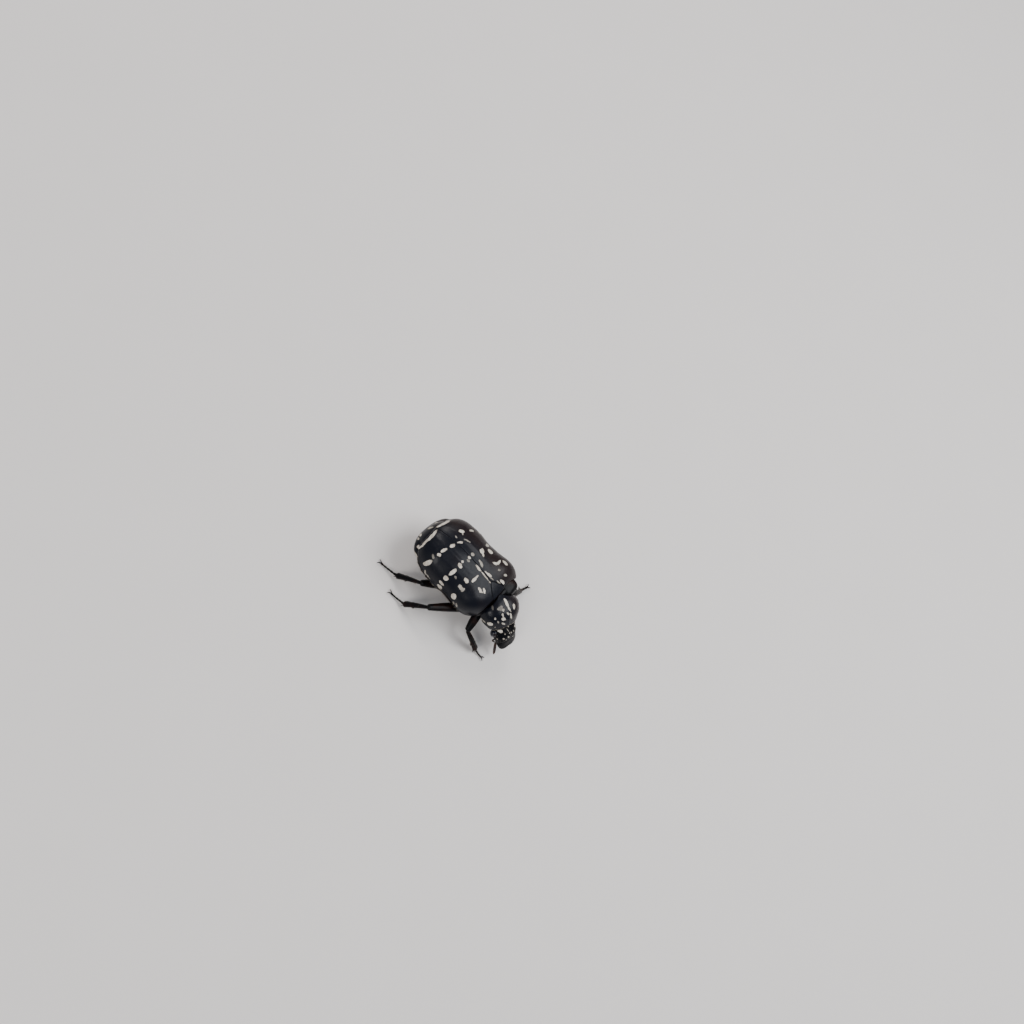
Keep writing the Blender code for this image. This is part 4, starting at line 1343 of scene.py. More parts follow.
@dataclass
class Underbody:
    """Hind thorax with its side plates, abdomen and tail plate.

    A span is a first and last station. A groove or seam is its middle and its reach: a station
    across the body, or an angle from the keel line along it.
    """

    thorax_span: Pair = (-0.05, 0.435)
    abdomen_span: Pair = (0.425, 0.975)
    tail_span: Pair = (0.93, 1.052)
    tail_across: float = -0.35
    tail_drop: float = 0.35
    tail_sides: int = 140
    tail_inset: float = 0.20
    tail_margin_deg: Pair = (80.0, 98.0)
    groove_depth: float = 0.05
    midline_groove: Pair = (0.0, 0.05)
    hip_groove: Pair = (0.27, 0.012)
    seam_depth: float = 0.035
    seam: Pair = (1.15, 0.035)
    inset: float = 0.30
    segments: int = 6
    segment_lip: float = 0.055
    side_plate: Triple = (1.74, -0.12, 3.00)
    side_plate_radii: Triple = (0.98, 1.00, 0.84)
    side_root: Triple = (1.05, -0.30, 3.10)
    side_root_radii: Triple = (1.10, 0.55, 0.74)
    side_plate_squareness: float = 3.4
    right_root: Triple = (-1.35, 0.02, 3.05)
    right_root_radii: Triple = (0.80, 0.42, 0.75)

    def thorax(self) -> Form:
        """Hind thorax: a midline groove, a cross groove before the hind hips, and side plates ahead.

        Its rings are the trunk's, less a bell for each groove and seam, and a smooth step draws
        them in towards the front. The side plates and their roots are superellipsoids.

        Returns:
            The form.
        """
        station = np.linspace(*self.thorax_span, 90)
        below = math.pi - np.abs(ring_angles(CORE_SIDES))[None, :]
        groove = bell(below, *self.midline_groove) + bell(station[:, None], *self.hip_groove)
        seam = self.seam_depth * bell(below, *self.seam)
        grid = core_grid(TRUNK, station, self.inset, -self.groove_depth * groove - seam)
        drawn = 0.70 + 0.30 * soft_step(station, self.thorax_span[0], 0.02)
        form = Form("hind_thorax_form").rings(drawn_in(grid, drawn))
        form.ball(self.side_plate, self.side_plate_radii, squareness=self.side_plate_squareness)
        form.ball(self.side_root, self.side_root_radii)
        form.ball(self.right_root, self.right_root_radii)
        return form

    def abdomen(self) -> Form:
        """Abdomen: each segment swells towards its hind edge and steps down to the next.

        A power of the place within the segment raises its lip, and a smooth step lets it down.
        Its skin is counted in segments along, from -0.5 to 0.5 about each hind edge, and in
        hundreds of degrees from the top, so that one pair of spots marks every segment.

        Returns:
            The rings' form.
        """
        station = np.linspace(*self.abdomen_span, 170)
        first, last = self.abdomen_span
        place = (station - first) / (last - first) * self.segments
        share = place - np.floor(place)
        lip = self.segment_lip * share**1.5 * (1 - soft_step(share, 0.93, 1.0))
        grid = core_grid(TRUNK, station, self.inset, lip[:, None] - 0.01)
        angle = ring_angles(CORE_SIDES)[None, :]
        skin = np.stack([
            (place + 0.5)[:, None] % 1.0 - 0.5 + 0 * angle,
            np.degrees(np.abs(angle)) / 100 + 0 * station[:, None],
        ], axis=-1)
        return Form("abdomen_form").rings(grid, skin, SEGMENT_SPOTS)

    def tail(self) -> Form:
        """Tail plate: rings that shrink to a point as an ellipse does towards its pole.

        A ring lies a sine of its share of the way back, and the square root of one less that
        sine squared is its size.

        Returns:
            The form.
        """
        first, last = self.tail_span
        start = np.full(self.tail_sides, first)
        angle = ring_angles(self.tail_sides)
        size = np.abs(angle)
        shown = soft_step(size, *(math.radians(limit) for limit in self.tail_margin_deg))
        arch = TRUNK.radius(np.ones(self.tail_sides), size) - self.tail_inset
        under = TRUNK.belly_radius(start, size)
        base = TRUNK.points(start, angle, arch * (1 - shown) + under * shown)
        tip = TRUNK.local((self.tail_across, last * TRUNK.length, -self.tail_drop))
        share = np.sin(np.linspace(0, 0.985, 70) * math.pi / 2)[:, None, None]
        grid = tip + (base - tip) * np.sqrt(1 - share**2)
        grid[..., 1:2] = base[:, 1:2] + (tip[1] - base[:, 1:2]) * share
        skin = np.stack([grid[..., 2], grid[..., 0] - tip[0]], axis=-1)
        return Form("tail_plate").rings(grid, skin, TAIL_SPOTS)

    def make(self, maker: Maker, finishes: Finishes) -> None:
        """Makes and dresses the three pieces.

        Args:
            maker: Turns forms into pieces.
            finishes: The model's materials.
        """
        maker.dress(self.thorax(), finishes.limb, "body_black", "hind_thorax")
        maker.dress(self.abdomen(), finishes.limb, "body_black", "abdomen")
        maker.dress(self.tail(), finishes.shell, "shell_black", "pygidium")


@dataclass
class Shield:
    """The shield over the prothorax, and the prothorax below it, with sizes as the underbody's."""

    rows: int = 120
    columns: int = 181
    thickness: float = 0.15
    rim: float = 0.06
    base_bow: float = 0.78
    bow_reach_deg: float = 52.0
    base_start: float = -0.03
    base_droop: float = 0.48
    bead: float = 0.030
    bead_place: Pair = (0.10, 0.06)
    chest_span: Pair = (-0.02, 1.0)
    chest_inset: float = 0.22
    keel_height: float = 0.08
    seam_depth: float = 0.03
    seam: Pair = (1.2, 0.04)

    def shield(self) -> Form:
        """A plate with rolled edges, bowed back in the middle of its base, with beaded sides.

        Its grid runs along the prothorax's skin and across from margin to margin. A bell across,
        times the fifth power of what lies ahead, draws its base back and down. The edges drop as
        a quarter circle, and bells raise the side beads and a low keel.

        Returns:
            The form.
        """
        share = eased(self.rows, 0.6)[:, None]
        station = self.base_start + (1.0 - self.base_start) * share
        spread = (eased(self.columns, 0.7) * 2 - 1)[None, :]
        angle = PROTHORAX.margin(station) * spread
        bow = self.base_bow / PROTHORAX.length * bell(np.degrees(angle), 0.0, self.bow_reach_deg)
        stretch = bow * np.clip(1 - station, 0, 1) ** 5
        shifted = station - stretch
        radius = PROTHORAX.radius(station, angle) - self.base_droop * stretch * PROTHORAX.length
        bare = PROTHORAX.points(shifted, angle, radius)
        run = running_length(bare, 1)
        inward = np.minimum(run, run[:, -1:] - run)
        ends = np.minimum(share, 1 - share) * PROTHORAX.length
        border = np.minimum(inward, ends)
        bead = self.bead * bell(inward, *self.bead_place) * soft_step(border, 0.0, 0.1)
        keel = 0.03 * bell(angle, 0.0, 0.10) * bell(station, 0.8, 0.4)
        outer = PROTHORAX.points(shifted, angle, radius - rolled(border, self.rim) + bead + keel)
        deep = self.rim + (self.thickness - self.rim) * soft_step(border, 0.0, 0.3)
        inner = PROTHORAX.points(shifted, angle, radius - deep)
        across = run - run[:, self.columns // 2][:, None]
        skin = np.stack([station * PROTHORAX.length + 0 * angle, across], axis=-1)
        return Form("shield_plate").plate(outer, inner, skin, SHIELD_SPOTS_AND_PAINTED_SHEENS)

    def chest(self) -> Form:
        """The prothorax under the shield, with a keel between the front hips.

        Bells raise the keel and cut the side seams, and smooth steps draw in the rings at both
        ends.

        Returns:
            The form.
        """
        first, last = self.chest_span
        station = np.linspace(first, last, 70)
        below = math.pi - np.abs(ring_angles(CORE_SIDES))[None, :]
        keel = self.keel_height * bell(below, 0.0, 0.10) * bell(station[:, None], 0.55, 0.3)
        seam = self.seam_depth * bell(below, *self.seam)
        grid = core_grid(PROTHORAX, station, self.chest_inset, keel - seam)
        drawn = 1 - 0.12 * soft_step(station, 0.90, last) - 0.25 * (1 - soft_step(station, first, 0.08))
        return Form("prothorax_form").rings(drawn_in(grid, drawn))

    def make(self, maker: Maker, finishes: Finishes) -> None:
        """Makes and dresses the shield and the prothorax."""
        maker.dress(self.shield(), finishes.shield, "shell_black", "pronotum")
        maker.dress(self.chest(), finishes.limb, "body_black", "prosternum")


@dataclass
class Head:
    """The head with its jaws and palps, the eyes and the feelers."""

    start: float = -0.25
    rounded_from: float = 0.88
    sides: int = 128
    notch: float = 0.09
    rim_height: float = 0.05
    brow_height: float = 0.035
    crease_depth: float = 0.02
    eye_centre: Triple = (0.98, 0.06, -0.12)
    eye_radii: Triple = (0.34, 0.35, 0.35)
    eye_squareness: float = 2.1
    jaw: Triple = (0.38, 1.30, -0.36)
    jaw_radii: Triple = (0.28, 0.44, 0.26)
    lower_lip: Triple = (0.0, 1.05, -0.52)
    lower_lip_radii: Triple = (0.34, 0.44, 0.22)
    palp: tuple[Triple, ...] = ((0.40, 1.30, -0.50), (0.48, 1.62, -0.64), (0.42, 1.90, -0.68))
    palp_half_width: float = 0.075
    feeler_right: tuple[Triple, ...] = ((0.76, 0.84, -0.34), (0.98, 1.06, -0.60), (0.80, 1.30, -0.64))
    club_right: tuple[Triple, Triple] = ((0.66, 1.42, -0.60), (1.02, 2.53, -0.70))
    feeler_left: tuple[Triple, ...] = ((0.76, 0.84, -0.34), (1.04, 1.06, -0.64), (0.90, 1.34, -0.72))
    club_left: tuple[Triple, Triple] = ((0.82, 1.46, -0.74), (0.94, 2.44, -0.86))
    feeler_beads: int = 6
    feeler_bead: float = 0.068
    leaves: int = 3
    leaf_step: float = 0.06
    leaf_half_size: Pair = (0.036, 0.105)
    leaf_squareness: float = 2.4

    def mirrored(self, side: Side, point: Triple) -> Array:
        """A point of the head, given for its left, on either side of it."""
        return HEAD.local(np.array(point) * np.array((side.value, 1, 1)))

    def skull(self) -> Form:
        """Head capsule: notched in front, with a turned-up rim round the clypeus and a low brow ridge.

        Its rings are superellipses, whose upper and lower halves a smooth step blends at the
        sides, set by a quarter of a sine wave towards the front. Bells raise the rim and the
        brow, cut the crease behind the clypeus, and draw the middle of the front back.

        Returns:
            The form.
        """
        straight = np.linspace(self.start, self.rounded_from, 96)[:-1]
        quarter = np.sin(np.linspace(0, 1, 26) * math.pi / 2)
        rounded = self.rounded_from + (1 - self.rounded_from) * quarter
        station = np.concatenate([straight, rounded])[:, None]
        angle = ring_angles(self.sides)[None, :]
        size = np.abs(angle)
        upper = soft_step(size, math.pi / 2 + 0.06, math.pi / 2 - 0.06)
        radius = HEAD.radius(station, size) * upper + HEAD.belly_radius(station, size) * (1 - upper)
        across = np.abs(radius * np.sin(size))
        border = HEAD.half_width.at(station) - across
        front = (1.0 - station) * HEAD.length
        edge = bell(np.minimum(border, front), 0.05, 0.07) * soft_step(station, 0.50, 0.62) * upper
        brow = self.brow_height * bell(size, 0.0, 0.16) * bell(station, 0.25, 0.22)
        crease = self.crease_depth * bell(station, 0.52, 0.03) * upper
        relief = self.rim_height * edge + brow - crease
        radius = radius + relief * soft_step(station, 1.0, 0.97)
        notch = self.notch / HEAD.length * bell(across, 0.0, 0.22) * np.clip(station, 0, 1) ** 8
        grid = HEAD.points(station - notch, angle, radius)
        run = running_length(grid, 1)
        middle = run[:, self.sides // 2][:, None]
        skin = np.stack([station * HEAD.length + 0 * angle, run - middle], axis=-1)
        form = Form("head_form").rings(grid, skin, HEAD_SPOTS)
        for side in Side:
            form.ball(self.mirrored(side, self.jaw), self.jaw_radii, HEAD.axes)
            path = spline([self.mirrored(side, point) for point in self.palp], 30)
            half = self.palp_half_width * (1 + 0.25 * np.cos(np.linspace(0, 3 * math.tau, 30)))
            form.rings(sweep(path, half, half, 16))
        form.ball(HEAD.local(self.lower_lip), self.lower_lip_radii, HEAD.axes)
        return form

    def eye(self, side: Side) -> Form:
        """A bulging eye, sunk in the side of the head.

        Args:
            side: Which of the two.

        Returns:
            The form.
        """
        return Form(f"eye_form_{side.name.lower()}").ball(
            self.mirrored(side, self.eye_centre), self.eye_radii, HEAD.axes, self.eye_squareness,
        )

    def feeler(self, side: Side) -> Form:
        """A feeler: a long first joint, six beads, and a club of three leaves laid together.

        The joints are ellipses swept along splines, and the leaves are flat superellipsoids.

        Args:
            side: Which of the two.

        Returns:
            The form.
        """
        knots = self.feeler_left if side is Side.LEFT else self.feeler_right
        ends = self.club_left if side is Side.LEFT else self.club_right
        root, elbow, neck = (self.mirrored(side, p) for p in knots)
        start, end = (self.mirrored(side, p) for p in ends)
        form = Form(f"feeler_{side.name.lower()}")
        first = spline([root, (root + elbow) / 2, elbow], 24)
        form.rings(sweep(first, np.linspace(0.055, 0.095, 24), np.linspace(0.055, 0.09, 24), 16))
        beads = spline([elbow, neck, start], self.feeler_beads + 1)
        half = np.full(14, self.feeler_bead)
        for near, far in zip(beads[:-1], beads[1:]):
            form.rings(sweep(spline([near, (near + far) / 2, far], 14), half, half, 14))
        long_axis = unit(end - start)
        flat_axis = unit(np.cross(long_axis, HEAD.axes[0]))
        axes = np.array([long_axis, np.cross(flat_axis, long_axis), flat_axis])
        for k in range(self.leaves):
            middle = (start + end) / 2 + axes[1] * (k - 1) * self.leaf_step
            length = np.linalg.norm(end - start) / 2 * (1 - 0.05 * k)
            form.ball(middle, (length, *self.leaf_half_size), axes, self.leaf_squareness)
        return form

    def make(self, maker: Maker, finishes: Finishes) -> None:
        """Makes and dresses the head, eyes and feelers.

        Args:
            maker: Turns forms into pieces.
            finishes: The model's materials.
        """
        maker.dress(self.skull(), finishes.brow, "body_black", "head")
        for side in Side:
            name = side.name.lower()
            maker.dress(self.eye(side), finishes.eye, "eye_navy", f"eye_{name}")
            maker.dress(self.feeler(side), finishes.feeler, "feeler_brown", f"antenna_{name}")


# A swell is the places along a part and its width there. A tooth is its place and its length.
THIGH_SWELL = ((0.0, 0.30, 0.65, 0.92, 1.0), (0.86, 1.0, 0.90, 0.68, 0.62))
SHIN_SWELL = ((0.0, 0.10, 0.25, 0.60, 0.66, 0.72, 1.0), (0.74, 0.78, 0.90, 0.96, 1.04, 0.94, 1.06))
FRONT_TEETH = ((0.62, 0.20), (0.93, 0.26))
OTHER_TEETH = ((0.55, 0.20), (0.93, 0.18))


@dataclass(frozen=True)
class Leg:
    """One leg's places, in millimetres, and the shape of its parts."""

    name: str
    side: Side
    front: bool
    hip: Pair
    knee: Triple
    ankle: Triple
    toe: Triple
    femur: float = 0.47
    tibia: Pair = (0.21, 0.30)
    tarsus: float = 0.15
    joints: int = 5
    claw: float = 0.30
    hip_stand: float = 0.04
    tooth_root: float = 0.11
    spur: float = 0.30
    spur_root: float = 0.055
    claw_root: float = 0.06

    def hip_point(self) -> Array:
        """Where the leg leaves the body, a little off the underside's skin.

        Returns:
            The point, in the beetle's frame.
        """
        barrel = PROTHORAX if self.front else TRUNK
        station, degrees = self.hip
        angle = np.array(math.radians(degrees))
        surface = barrel.belly_radius(np.array(station), angle)
        return barrel.points(np.array(station), self.side.value * angle, surface + self.hip_stand)

    def outward(self) -> Array:
        """Direction square to the shin, away from the body."""
        across = unit(np.cross(unit(np.subtract(self.ankle, self.knee)), (0.0, 0.0, 1.0)))
        return across * (1 if across[0] * self.side.value > 0 else -1)

    def upper_parts(self, form: Form) -> None:
        """Hip, thigh and shin: flattened spindles that swell and shrink along their length.

        Each is an ellipse swept along a spline, and its width is a taper times its swell.

        Args:
            form: The leg's form, which they are added to.
        """
        hip, knee, ankle = self.hip_point(), np.array(self.knee), np.array(self.ankle)
        inward = np.array((-self.side.value, 0.0, 0.25)) * 0.30
        form.rings(sweep(
            np.linspace(hip + inward * 1.7, hip - inward * 0.9, 30),
            np.full(30, self.femur * 0.95), np.full(30, self.femur * 0.85), 28,
        ))
        share = np.linspace(0, 1, 54)
        swell = np.interp(share, *THIGH_SWELL)
        thigh = spline([hip, hip + (knee - hip) * 0.5 + (0, 0, 0.05), knee + (knee - hip) * 0.02], 54)
        form.rings(sweep(thigh, self.femur * 0.74 * swell, self.femur * 0.88 * swell, 40, 2.6, 0.03))
        shin = spline([knee, knee + (ankle - knee) * 0.5 + (0, 0, 0.06), ankle], 54)
        width = self.tibia[0] + (self.tibia[1] - self.tibia[0]) * share**1.2
        width = width * np.interp(share, *SHIN_SWELL)
        form.rings(sweep(shin, width * 0.72, width * 0.90, 40, 3.6, 0.07))

    def spines(self, form: Form) -> None:
        """Teeth on the shin's outer edge and spurs at its end, each a cone swept along a spline.

        Args:
            form: The leg's form, which they are added to.
        """
        knee, ankle = np.array(self.knee), np.array(self.ankle)
        along = unit(ankle - knee)
        outward = self.outward()
        size = np.linspace(self.tooth_root, 0.02, 16)
        for place, length in FRONT_TEETH if self.front else OTHER_TEETH:
            root = knee + (ankle - knee) * place + outward * self.tibia[0] * 0.5
            bend = root + outward * length * 0.6 + along * length * 0.2
            tip = root + outward * length + along * length * 0.6
            form.rings(sweep(spline([root, bend, tip], 16), size, size * 0.8, 14))
        size = np.linspace(self.spur_root, 0.012, 16)
        for spread in (-1, 1):
            root = ankle - along * 0.05 + outward * 0.09 * spread
            tip = root + along * self.spur + outward * 0.08 * spread
            tip[2] = max(tip[2], 0.06)
            form.rings(sweep(spline([root, (root + tip) / 2, tip], 16), size, size, 12))

    def foot_path(self) -> Array:
        """Ends of the foot's joints: straight in plan, coming down on to the floor in a curve.

        The height falls as a power of the share that is left to the toe.

        Returns:
            The ends, from the ankle to the toe.
        """
        ankle, toe = np.array(self.ankle), np.array(self.toe)
        share = np.linspace(0, 1, self.joints + 1)
        level = toe[2] * 0.72
        height = level + (ankle[2] - level) * (1 - share) ** 1.8
        flat = ankle[None, :2] + (toe - ankle)[None, :2] * share[:, None]
        return np.concatenate([flat, height[:, None]], axis=1)

    def foot(self, form: Form) -> None:
        """Five joints, each wider at its far end, and two hooked claws.

        A joint is an ellipse swept along a spline, widening as a power of its length. A claw is a
        cone swept along a hooked spline.

        Args:
            form: The leg's form, which they are added to.
        """
        path = self.foot_path()
        for k in range(self.joints):
            size = self.tarsus * (1 - 0.08 * k) * (1.15 if k == self.joints - 1 else 1.0)
            ends = [path[k] - (path[k + 1] - path[k]) * 0.12, (path[k] + path[k + 1]) / 2, path[k + 1]]
            width = size * (0.62 + 0.38 * np.linspace(0, 1, 22) ** 1.4)
            form.rings(sweep(spline(ends, 22), width, width * 0.9, 18))
        ahead = unit((path[-1] - path[-2]) * (1.0, 1.0, 0.0))
        beside = np.cross(ahead, (0.0, 0.0, 1.0))
        size = np.linspace(self.claw_root, 0.014, 26)
        for spread in (-1, 1):
            bend = [
                path[-1] - ahead * 0.06 + (0, 0, 0.02),
                path[-1] + ahead * self.claw * 0.45 + beside * spread * 0.10 + (0, 0, 0.07),
                path[-1] + ahead * self.claw * 0.85 + beside * spread * 0.17 + (0, 0, 0.01),
            ]
            bend.append(bend[-1] + ahead * self.claw * 0.12 + beside * spread * 0.02 - (0, 0, 0.075))
            form.rings(sweep(spline(bend, 26), size, size, 12))

    def build(self) -> Form:
        """Gathers the whole leg and lays whatever would pass below the floor on it.

        Returns:
            The leg's form.
        """
        form = Form(f"{self.name}_form")
        self.upper_parts(form)
        self.spines(form)
        self.foot(form)
        form.points = [np.maximum(part, (-1e3, -1e3, 0.0)) for part in form.points]
        return form


LEGS = (
    Leg(
        "leg_front_right", Side.RIGHT, True, (0.06, 126),
        (-3.03, -0.66, 1.90), (-2.90, -2.52, 0.43), (-2.85, -3.40, 0.17), femur=0.45, tibia=(0.25, 0.30),
    ),
    Leg(
        "leg_front_left", Side.LEFT, True, (0.42, 146),
        (2.46, -1.50, 1.78), (4.08, -2.02, 0.50), (4.97, -2.32, 0.17),
        femur=0.45, tibia=(0.29, 0.22), tarsus=0.22,
    ),
    Leg(
        "leg_middle_right", Side.RIGHT, False, (0.03, 136),
        (-4.35, 3.12, 2.10), (-4.95, 4.50, 0.41), (-5.02, 5.85, 0.17),
    ),
    Leg(
        "leg_middle_left", Side.LEFT, False, (0.13, 152),
        (3.40, 1.30, 2.05), (4.05, 2.50, 0.40), (4.30, 4.00, 0.17),
    ),
    Leg(
        "leg_hind_right", Side.RIGHT, False, (0.36, 154),
        (-3.15, 4.90, 1.70), (-3.70, 6.60, 0.42), (-3.85, 8.20, 0.17),
    ),
    Leg(
        "leg_hind_left", Side.LEFT, False, (0.36, 154),
        (3.30, 3.80, 1.80), (3.75, 5.00, 0.42), (3.55, 6.40, 0.17),
    ),
)


def make_legs(maker: Maker, finishes: Finishes) -> None:
    """Makes and dresses the six legs."""
    for leg in LEGS:
        maker.dress(leg.build(), finishes.limb, "leg_black", leg.name)


@dataclass(frozen=True)
class Tuft:
    """Bristles to grow: their roots, normals, leans and places on an unwrap, and their length."""

    roots: Array
    normals: Array
    leans: Array
    places: Array
    length: float


@dataclass(frozen=True)
class Band:
    """Where bristles stand on a barrel, which way they lean and how long they are.

    Each span is a first and last station and an angle range's middle and half width, in degrees.
    """

    barrel: Barrel
    spans: tuple[tuple[float, float, float, float], ...]
    count: int
    belly: bool
    lean: Triple
    length: float


BODY_BANDS = (
    Band(TRUNK, ((0.05, 0.42, 112, 12), (0.05, 0.42, -112, 12)), 300, True, (0.0, 0.7, -0.4), 0.26),
    Band(TRUNK, ((0.45, 0.97, 108, 10), (0.45, 0.97, -108, 10)), 200, True, (0.0, 1.0, 0.0), 0.20),
    Band(TRUNK, ((0.04, 0.40, 180, 40),), 260, True, (0.0, 1.0, 0.0), 0.26),
    Band(PROTHORAX, ((0.40, 0.94, 97, 2), (0.40, 0.94, -97, 2)), 80, False, (0.0, 0.8, -0.4), 0.12),
    Band(PROTHORAX, ((0.35, 0.90, 145, 25), (0.35, 0.90, -145, 25)), 240, True, (0.0, 0.6, -1.0), 0.24),
    Band(PROTHORAX, ((0.95, 0.99, 0, 84),), 70, False, (0.0, -1.0, 0.0), 0.10),
)


@dataclass
class Bristles:
    """Pale bristles along the edges, the sides and the legs, each a bent three-sided cone."""

    radius: float = 0.007
    seed: int = 11
    leg_seed: int = 16
    patch: float = 0.0015
    root_depth: float = 0.03
    probe: float = 0.01
    thigh_count: int = 34
    shin_count: int = 60
    leg_length: float = 0.24

    def on_barrel(self, band: Band) -> Tuft:
        """Bristles at random places in a band on a barrel's skin.

        Args:
            band: The band.

        Returns:
            The bristles to grow.
        """
        barrel, count = band.barrel, band.count
        reach = barrel.belly_radius if band.belly else barrel.radius

        def below_skin(station: Array, angle: Array) -> Array:
            """Points a root's depth below the skin."""
            return barrel.points(station, angle, reach(station, np.abs(angle)) - self.root_depth)

        chance = np.random.default_rng(self.seed + count)
        span = np.array(band.spans)[chance.integers(0, len(band.spans), count)]
        station = span[:, 0] + (span[:, 1] - span[:, 0]) * chance.random(count)
        angle = np.radians(span[:, 2] + span[:, 3] * (2 * chance.random(count) - 1))
        roots = below_skin(station, angle)
        beside = below_skin(station, angle + self.probe) - roots
        behind = below_skin(station + self.probe, angle) - roots
        normal = unit(np.cross(beside, behind))
        centre = barrel.points(station, angle, 0 * angle)
        normal *= np.sign(np.einsum("ij,ij->i", normal, roots - centre))[:, None]
        places = np.stack([0.05 + 0.9 * station, 0.5 + angle / math.tau * 0.9], axis=-1)
        return Tuft(roots, normal, np.tile(band.lean, (count, 1)), places, band.length)

    def on_legs(self) -> Tuft:
        """Bristles at random places along the thighs and shins of every leg.

        Returns:
            The bristles to grow.
        """
        chance = np.random.default_rng(self.leg_seed)
        parts = []
        for index, leg in enumerate(LEGS):
            hip, knee, ankle = leg.hip_point(), np.array(leg.knee), np.array(leg.ankle)
            thigh = (hip, knee, leg.femur * 0.62, self.thigh_count)
            shin = (knee, ankle, leg.tibia[0] * 0.95, self.shin_count)
            for start, end, size, count in (thigh, shin):
                share = 0.12 + 0.82 * chance.random(count)
                along = unit(end - start)
                level = unit(np.cross(along, (0.0, 0.0, 1.0)))
                turn = chance.normal(0, 0.9, count)[:, None]
                normal = np.cos(turn) * np.cross(along, level) + np.sin(turn) * level
                roots = start + (end - start) * share[:, None] + normal * size
                row = np.full(count, 0.1 + 0.14 * index)
                places = np.stack([0.05 + 0.9 * share, row], axis=-1)
                parts.append((roots, normal, np.tile(along, (count, 1)), places))
        return Tuft(*(np.concatenate(part) for part in zip(*parts)), self.leg_length)

    def grow(self, name: str, tufts: list[Tuft], shift: Array) -> bpy.types.Object:
        """Makes one object of many bristles.

        Each bristle leaves its root between the skin's normal and its lean, bends over towards the
        lean, and tapers to a point.

        Args:
            name: Name of the object.
            tufts: The bristles to grow.
            shift: Where the beetle's frame starts, in millimetres.

        Returns:
            The new object.
        """
        chance = np.random.default_rng(self.seed)
        turn = np.arange(3) * math.tau / 3
        corner = np.array([(0, 0), (1, 0), (0.5, 1), (0.1, 0.5), (0.9, 0.5), (0.5, 0.8), (0.5, 0.5)])
        cones, patches = [], []
        for tuft in tufts:
            count = len(tuft.roots)
            reach = (tuft.length * (0.65 + 0.5 * chance.random(count)))[:, None]
            stray = chance.normal(0, 0.22, (count, 3))
            rise = unit(tuft.normals * 0.75 + tuft.leans * 0.5 + stray)
            fall = unit(tuft.normals * 0.25 + tuft.leans * 0.9 + stray)
            middle = tuft.roots + rise * reach * 0.5
            tip = middle + fall * reach * 0.5
            aside = unit(np.cross(rise, tuft.leans + 0.01))[:, None]
            other = np.cross(rise[:, None], aside)
            ring = np.cos(turn)[None, :, None] * aside + np.sin(turn)[None, :, None] * other
            cones.append(np.concatenate([
                tuft.roots[:, None] + ring * self.radius, middle[:, None] + ring * self.radius * 0.7,
                tip[:, None],
            ], axis=1))
            patches.append(tuft.places[:, None] + (corner - 0.5)[None] * 2 * self.patch)
        points = (np.concatenate(cones).reshape(-1, 3) + shift) * MM
        points[:, 2] = np.maximum(points[:, 2], 0.0)
        start = np.arange(0, len(points), len(corner))[:, None, None]
        quads = start + np.array([(0, 1, 4, 3), (1, 2, 5, 4), (2, 0, 3, 5)])
        threes = start + np.array([(3, 4, 6), (4, 5, 6), (5, 3, 6), (0, 2, 1)])
        faces = [quads.reshape(-1, 4), threes.reshape(-1, 3)]
        places = np.concatenate(patches).reshape(-1, 2)
        return link(name, smooth_mesh(name, points, faces, "OFBake", places))

    def make(self, maker: Maker, finishes: Finishes) -> None:
        """Grows the bristles of the body and of the legs, and dresses both coats.

        Args:
            maker: Turns forms into pieces, and knows where the beetle's frame starts.
            finishes: The model's materials.
        """
        coats = {
            "body_bristles": [self.on_barrel(band) for band in BODY_BANDS],
            "leg_bristles": [self.on_legs()],
        }
        for name, tufts in coats.items():
            piece = self.grow(name, tufts, maker.shift)
            piece.data.materials.append(finishes.hair)
            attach(piece, "root")
            LOG.info("%s: %d faces", piece.name, len(piece.data.polygons))


@dataclass(frozen=True)
class PhotoCamera:
    """The photograph's view of the beetle, given by how the beetle lies in the picture.

    The camera looks down from the zenith, tilted to the beetle's right and a little to its rear,
    and the beetle's head points down to the right in the frame.
    """

    tilt_right_deg: float = 31.0
    tilt_rear_deg: float = 8.0
    heading_deg: float = 48.5
    sighted: Triple = (0.0, 1.20, 4.92)
    pixel: Pair = (491.0, 583.0)
    pixels_per_mm: float = 12.2
    frame_pixels: float = 1024.0
    lens: float = 50.0
    sensor: float = 36.0
    clip: Pair = (0.002, 5.0)

    def make(self, shift: Array) -> None:
        """Makes the camera and gives it to the scene.

        Args:
            shift: Where the beetle's frame starts, in millimetres.
        """
        focal = self.lens / self.sensor * self.frame_pixels
        angles = (self.tilt_right_deg, self.tilt_rear_deg, self.heading_deg)
        tilt, rear, heading = (math.radians(angle) for angle in angles)
        zenith = np.array((-math.sin(tilt), 0.0, math.cos(tilt)))
        back = math.cos(rear) * zenith + math.sin(rear) * np.array((0.0, 1.0, 0.0))
        ahead = math.cos(rear) * np.array((0.0, -1.0, 0.0)) + math.sin(rear) * zenith
        left = np.array((math.cos(tilt), 0.0, math.sin(tilt)))
        right_in_frame = math.cos(heading) * ahead + math.sin(heading) * left
        up_in_frame = -math.sin(heading) * ahead + math.cos(heading) * left
        distance = focal / self.pixels_per_mm
        offset = (np.array(self.pixel) - self.frame_pixels / 2) / focal
        place = np.array(self.sighted) + shift + distance * back
        place -= distance * (offset[0] * right_in_frame - offset[1] * up_in_frame)
        data = bpy.data.cameras.new("camera")
        data.lens, data.sensor_width = self.lens, self.sensor
        data.clip_start, data.clip_end = self.clip
        axes = [right_in_frame, up_in_frame, back]
        bpy.context.scene.camera = stand("camera", data, axes, place * MM)


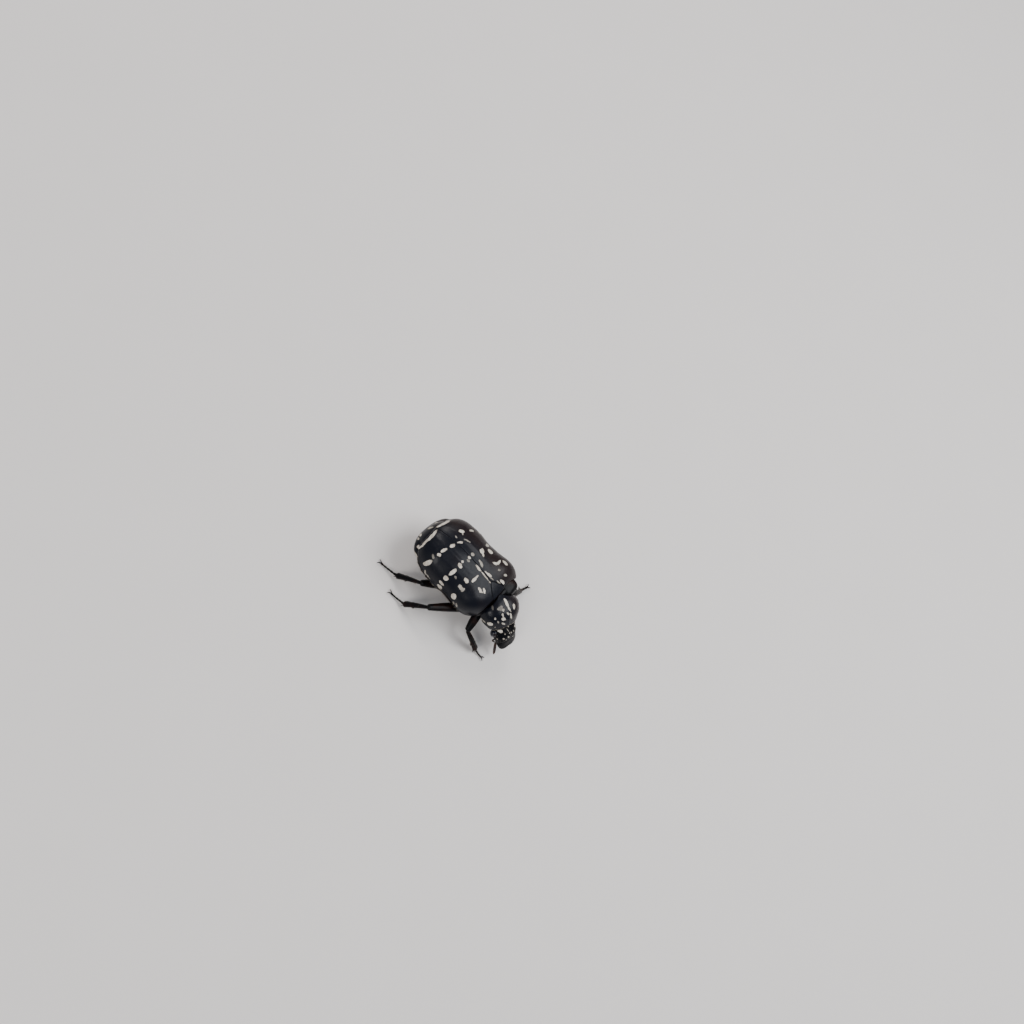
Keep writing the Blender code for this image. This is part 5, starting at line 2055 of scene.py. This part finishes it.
@dataclass(frozen=True)
class SoftBox:
    """A square studio light that faces the beetle."""

    name: str
    direction: Triple
    distance: float
    size: float
    power: float
    colour: Triple

    def make(self) -> None:
        """Makes the light."""
        data = bpy.data.lights.new(self.name, "AREA")
        data.shape, data.size = "SQUARE", self.size
        data.energy, data.color = self.power, self.colour
        back = unit(np.array(self.direction))
        side = unit(np.cross((0.0, 0.0, 1.0), back))
        stand(self.name, data, [side, np.cross(back, side), back], back * self.distance)


FLOOR_CORNERS = ((-1, -1), (1, -1), (1, 1), (-1, 1))


@dataclass(frozen=True)
class Studio:
    """Pale floor, soft lights and a bright, even room."""

    floor_half: float = 0.6
    room: Triple = (0.84, 0.90, 1.0)
    room_strength: float = 0.36
    lights: tuple[SoftBox, ...] = (
        SoftBox("key_light", (0.34, -0.38, 0.86), 0.20, 0.14, 0.38, (0.96, 0.98, 1.0)),
        SoftBox("side_light", (-0.9, 0.25, 0.75), 0.26, 0.10, 0.26, (1.0, 0.97, 0.94)),
        SoftBox("rear_light", (0.7, 0.9, 0.9), 0.26, 0.10, 0.26, (1.0, 0.95, 0.92)),
    )

    def make(self) -> None:
        """Makes the floor, the lights and the room."""
        corners = [(x * self.floor_half, y * self.floor_half, 0.0) for x, y in FLOOR_CORNERS]
        mesh = bpy.data.meshes.new("floor")
        mesh.from_pydata(corners, [], [(0, 1, 2, 3)])
        mesh.materials.append(FloorFinish().build())
        floor = link("floor", mesh)
        world = bpy.data.worlds.new("room")
        world.use_nodes = True
        ground = world.node_tree.nodes["Background"]
        ground.inputs["Color"].default_value = rgb(*self.room)
        ground.inputs["Strength"].default_value = self.room_strength
        bpy.context.scene.world = world
        for light in self.lights:
            light.make()


def main() -> None:
    """Builds the beetle and the studio."""
    logging.basicConfig(level=logging.INFO, format="%(message)s")
    LOG.info("solids in the frame: %d", len(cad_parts))
    maker = Maker()
    finishes = build_finishes()
    PhotoCamera().make(maker.shift)
    Studio().make()
    WingCases().make(maker, finishes)
    Underbody().make(maker, finishes)
    Shield().make(maker, finishes)
    Head().make(maker, finishes)
    make_legs(maker, finishes)
    Bristles().make(maker, finishes)


if __name__ == "__main__":
    main()
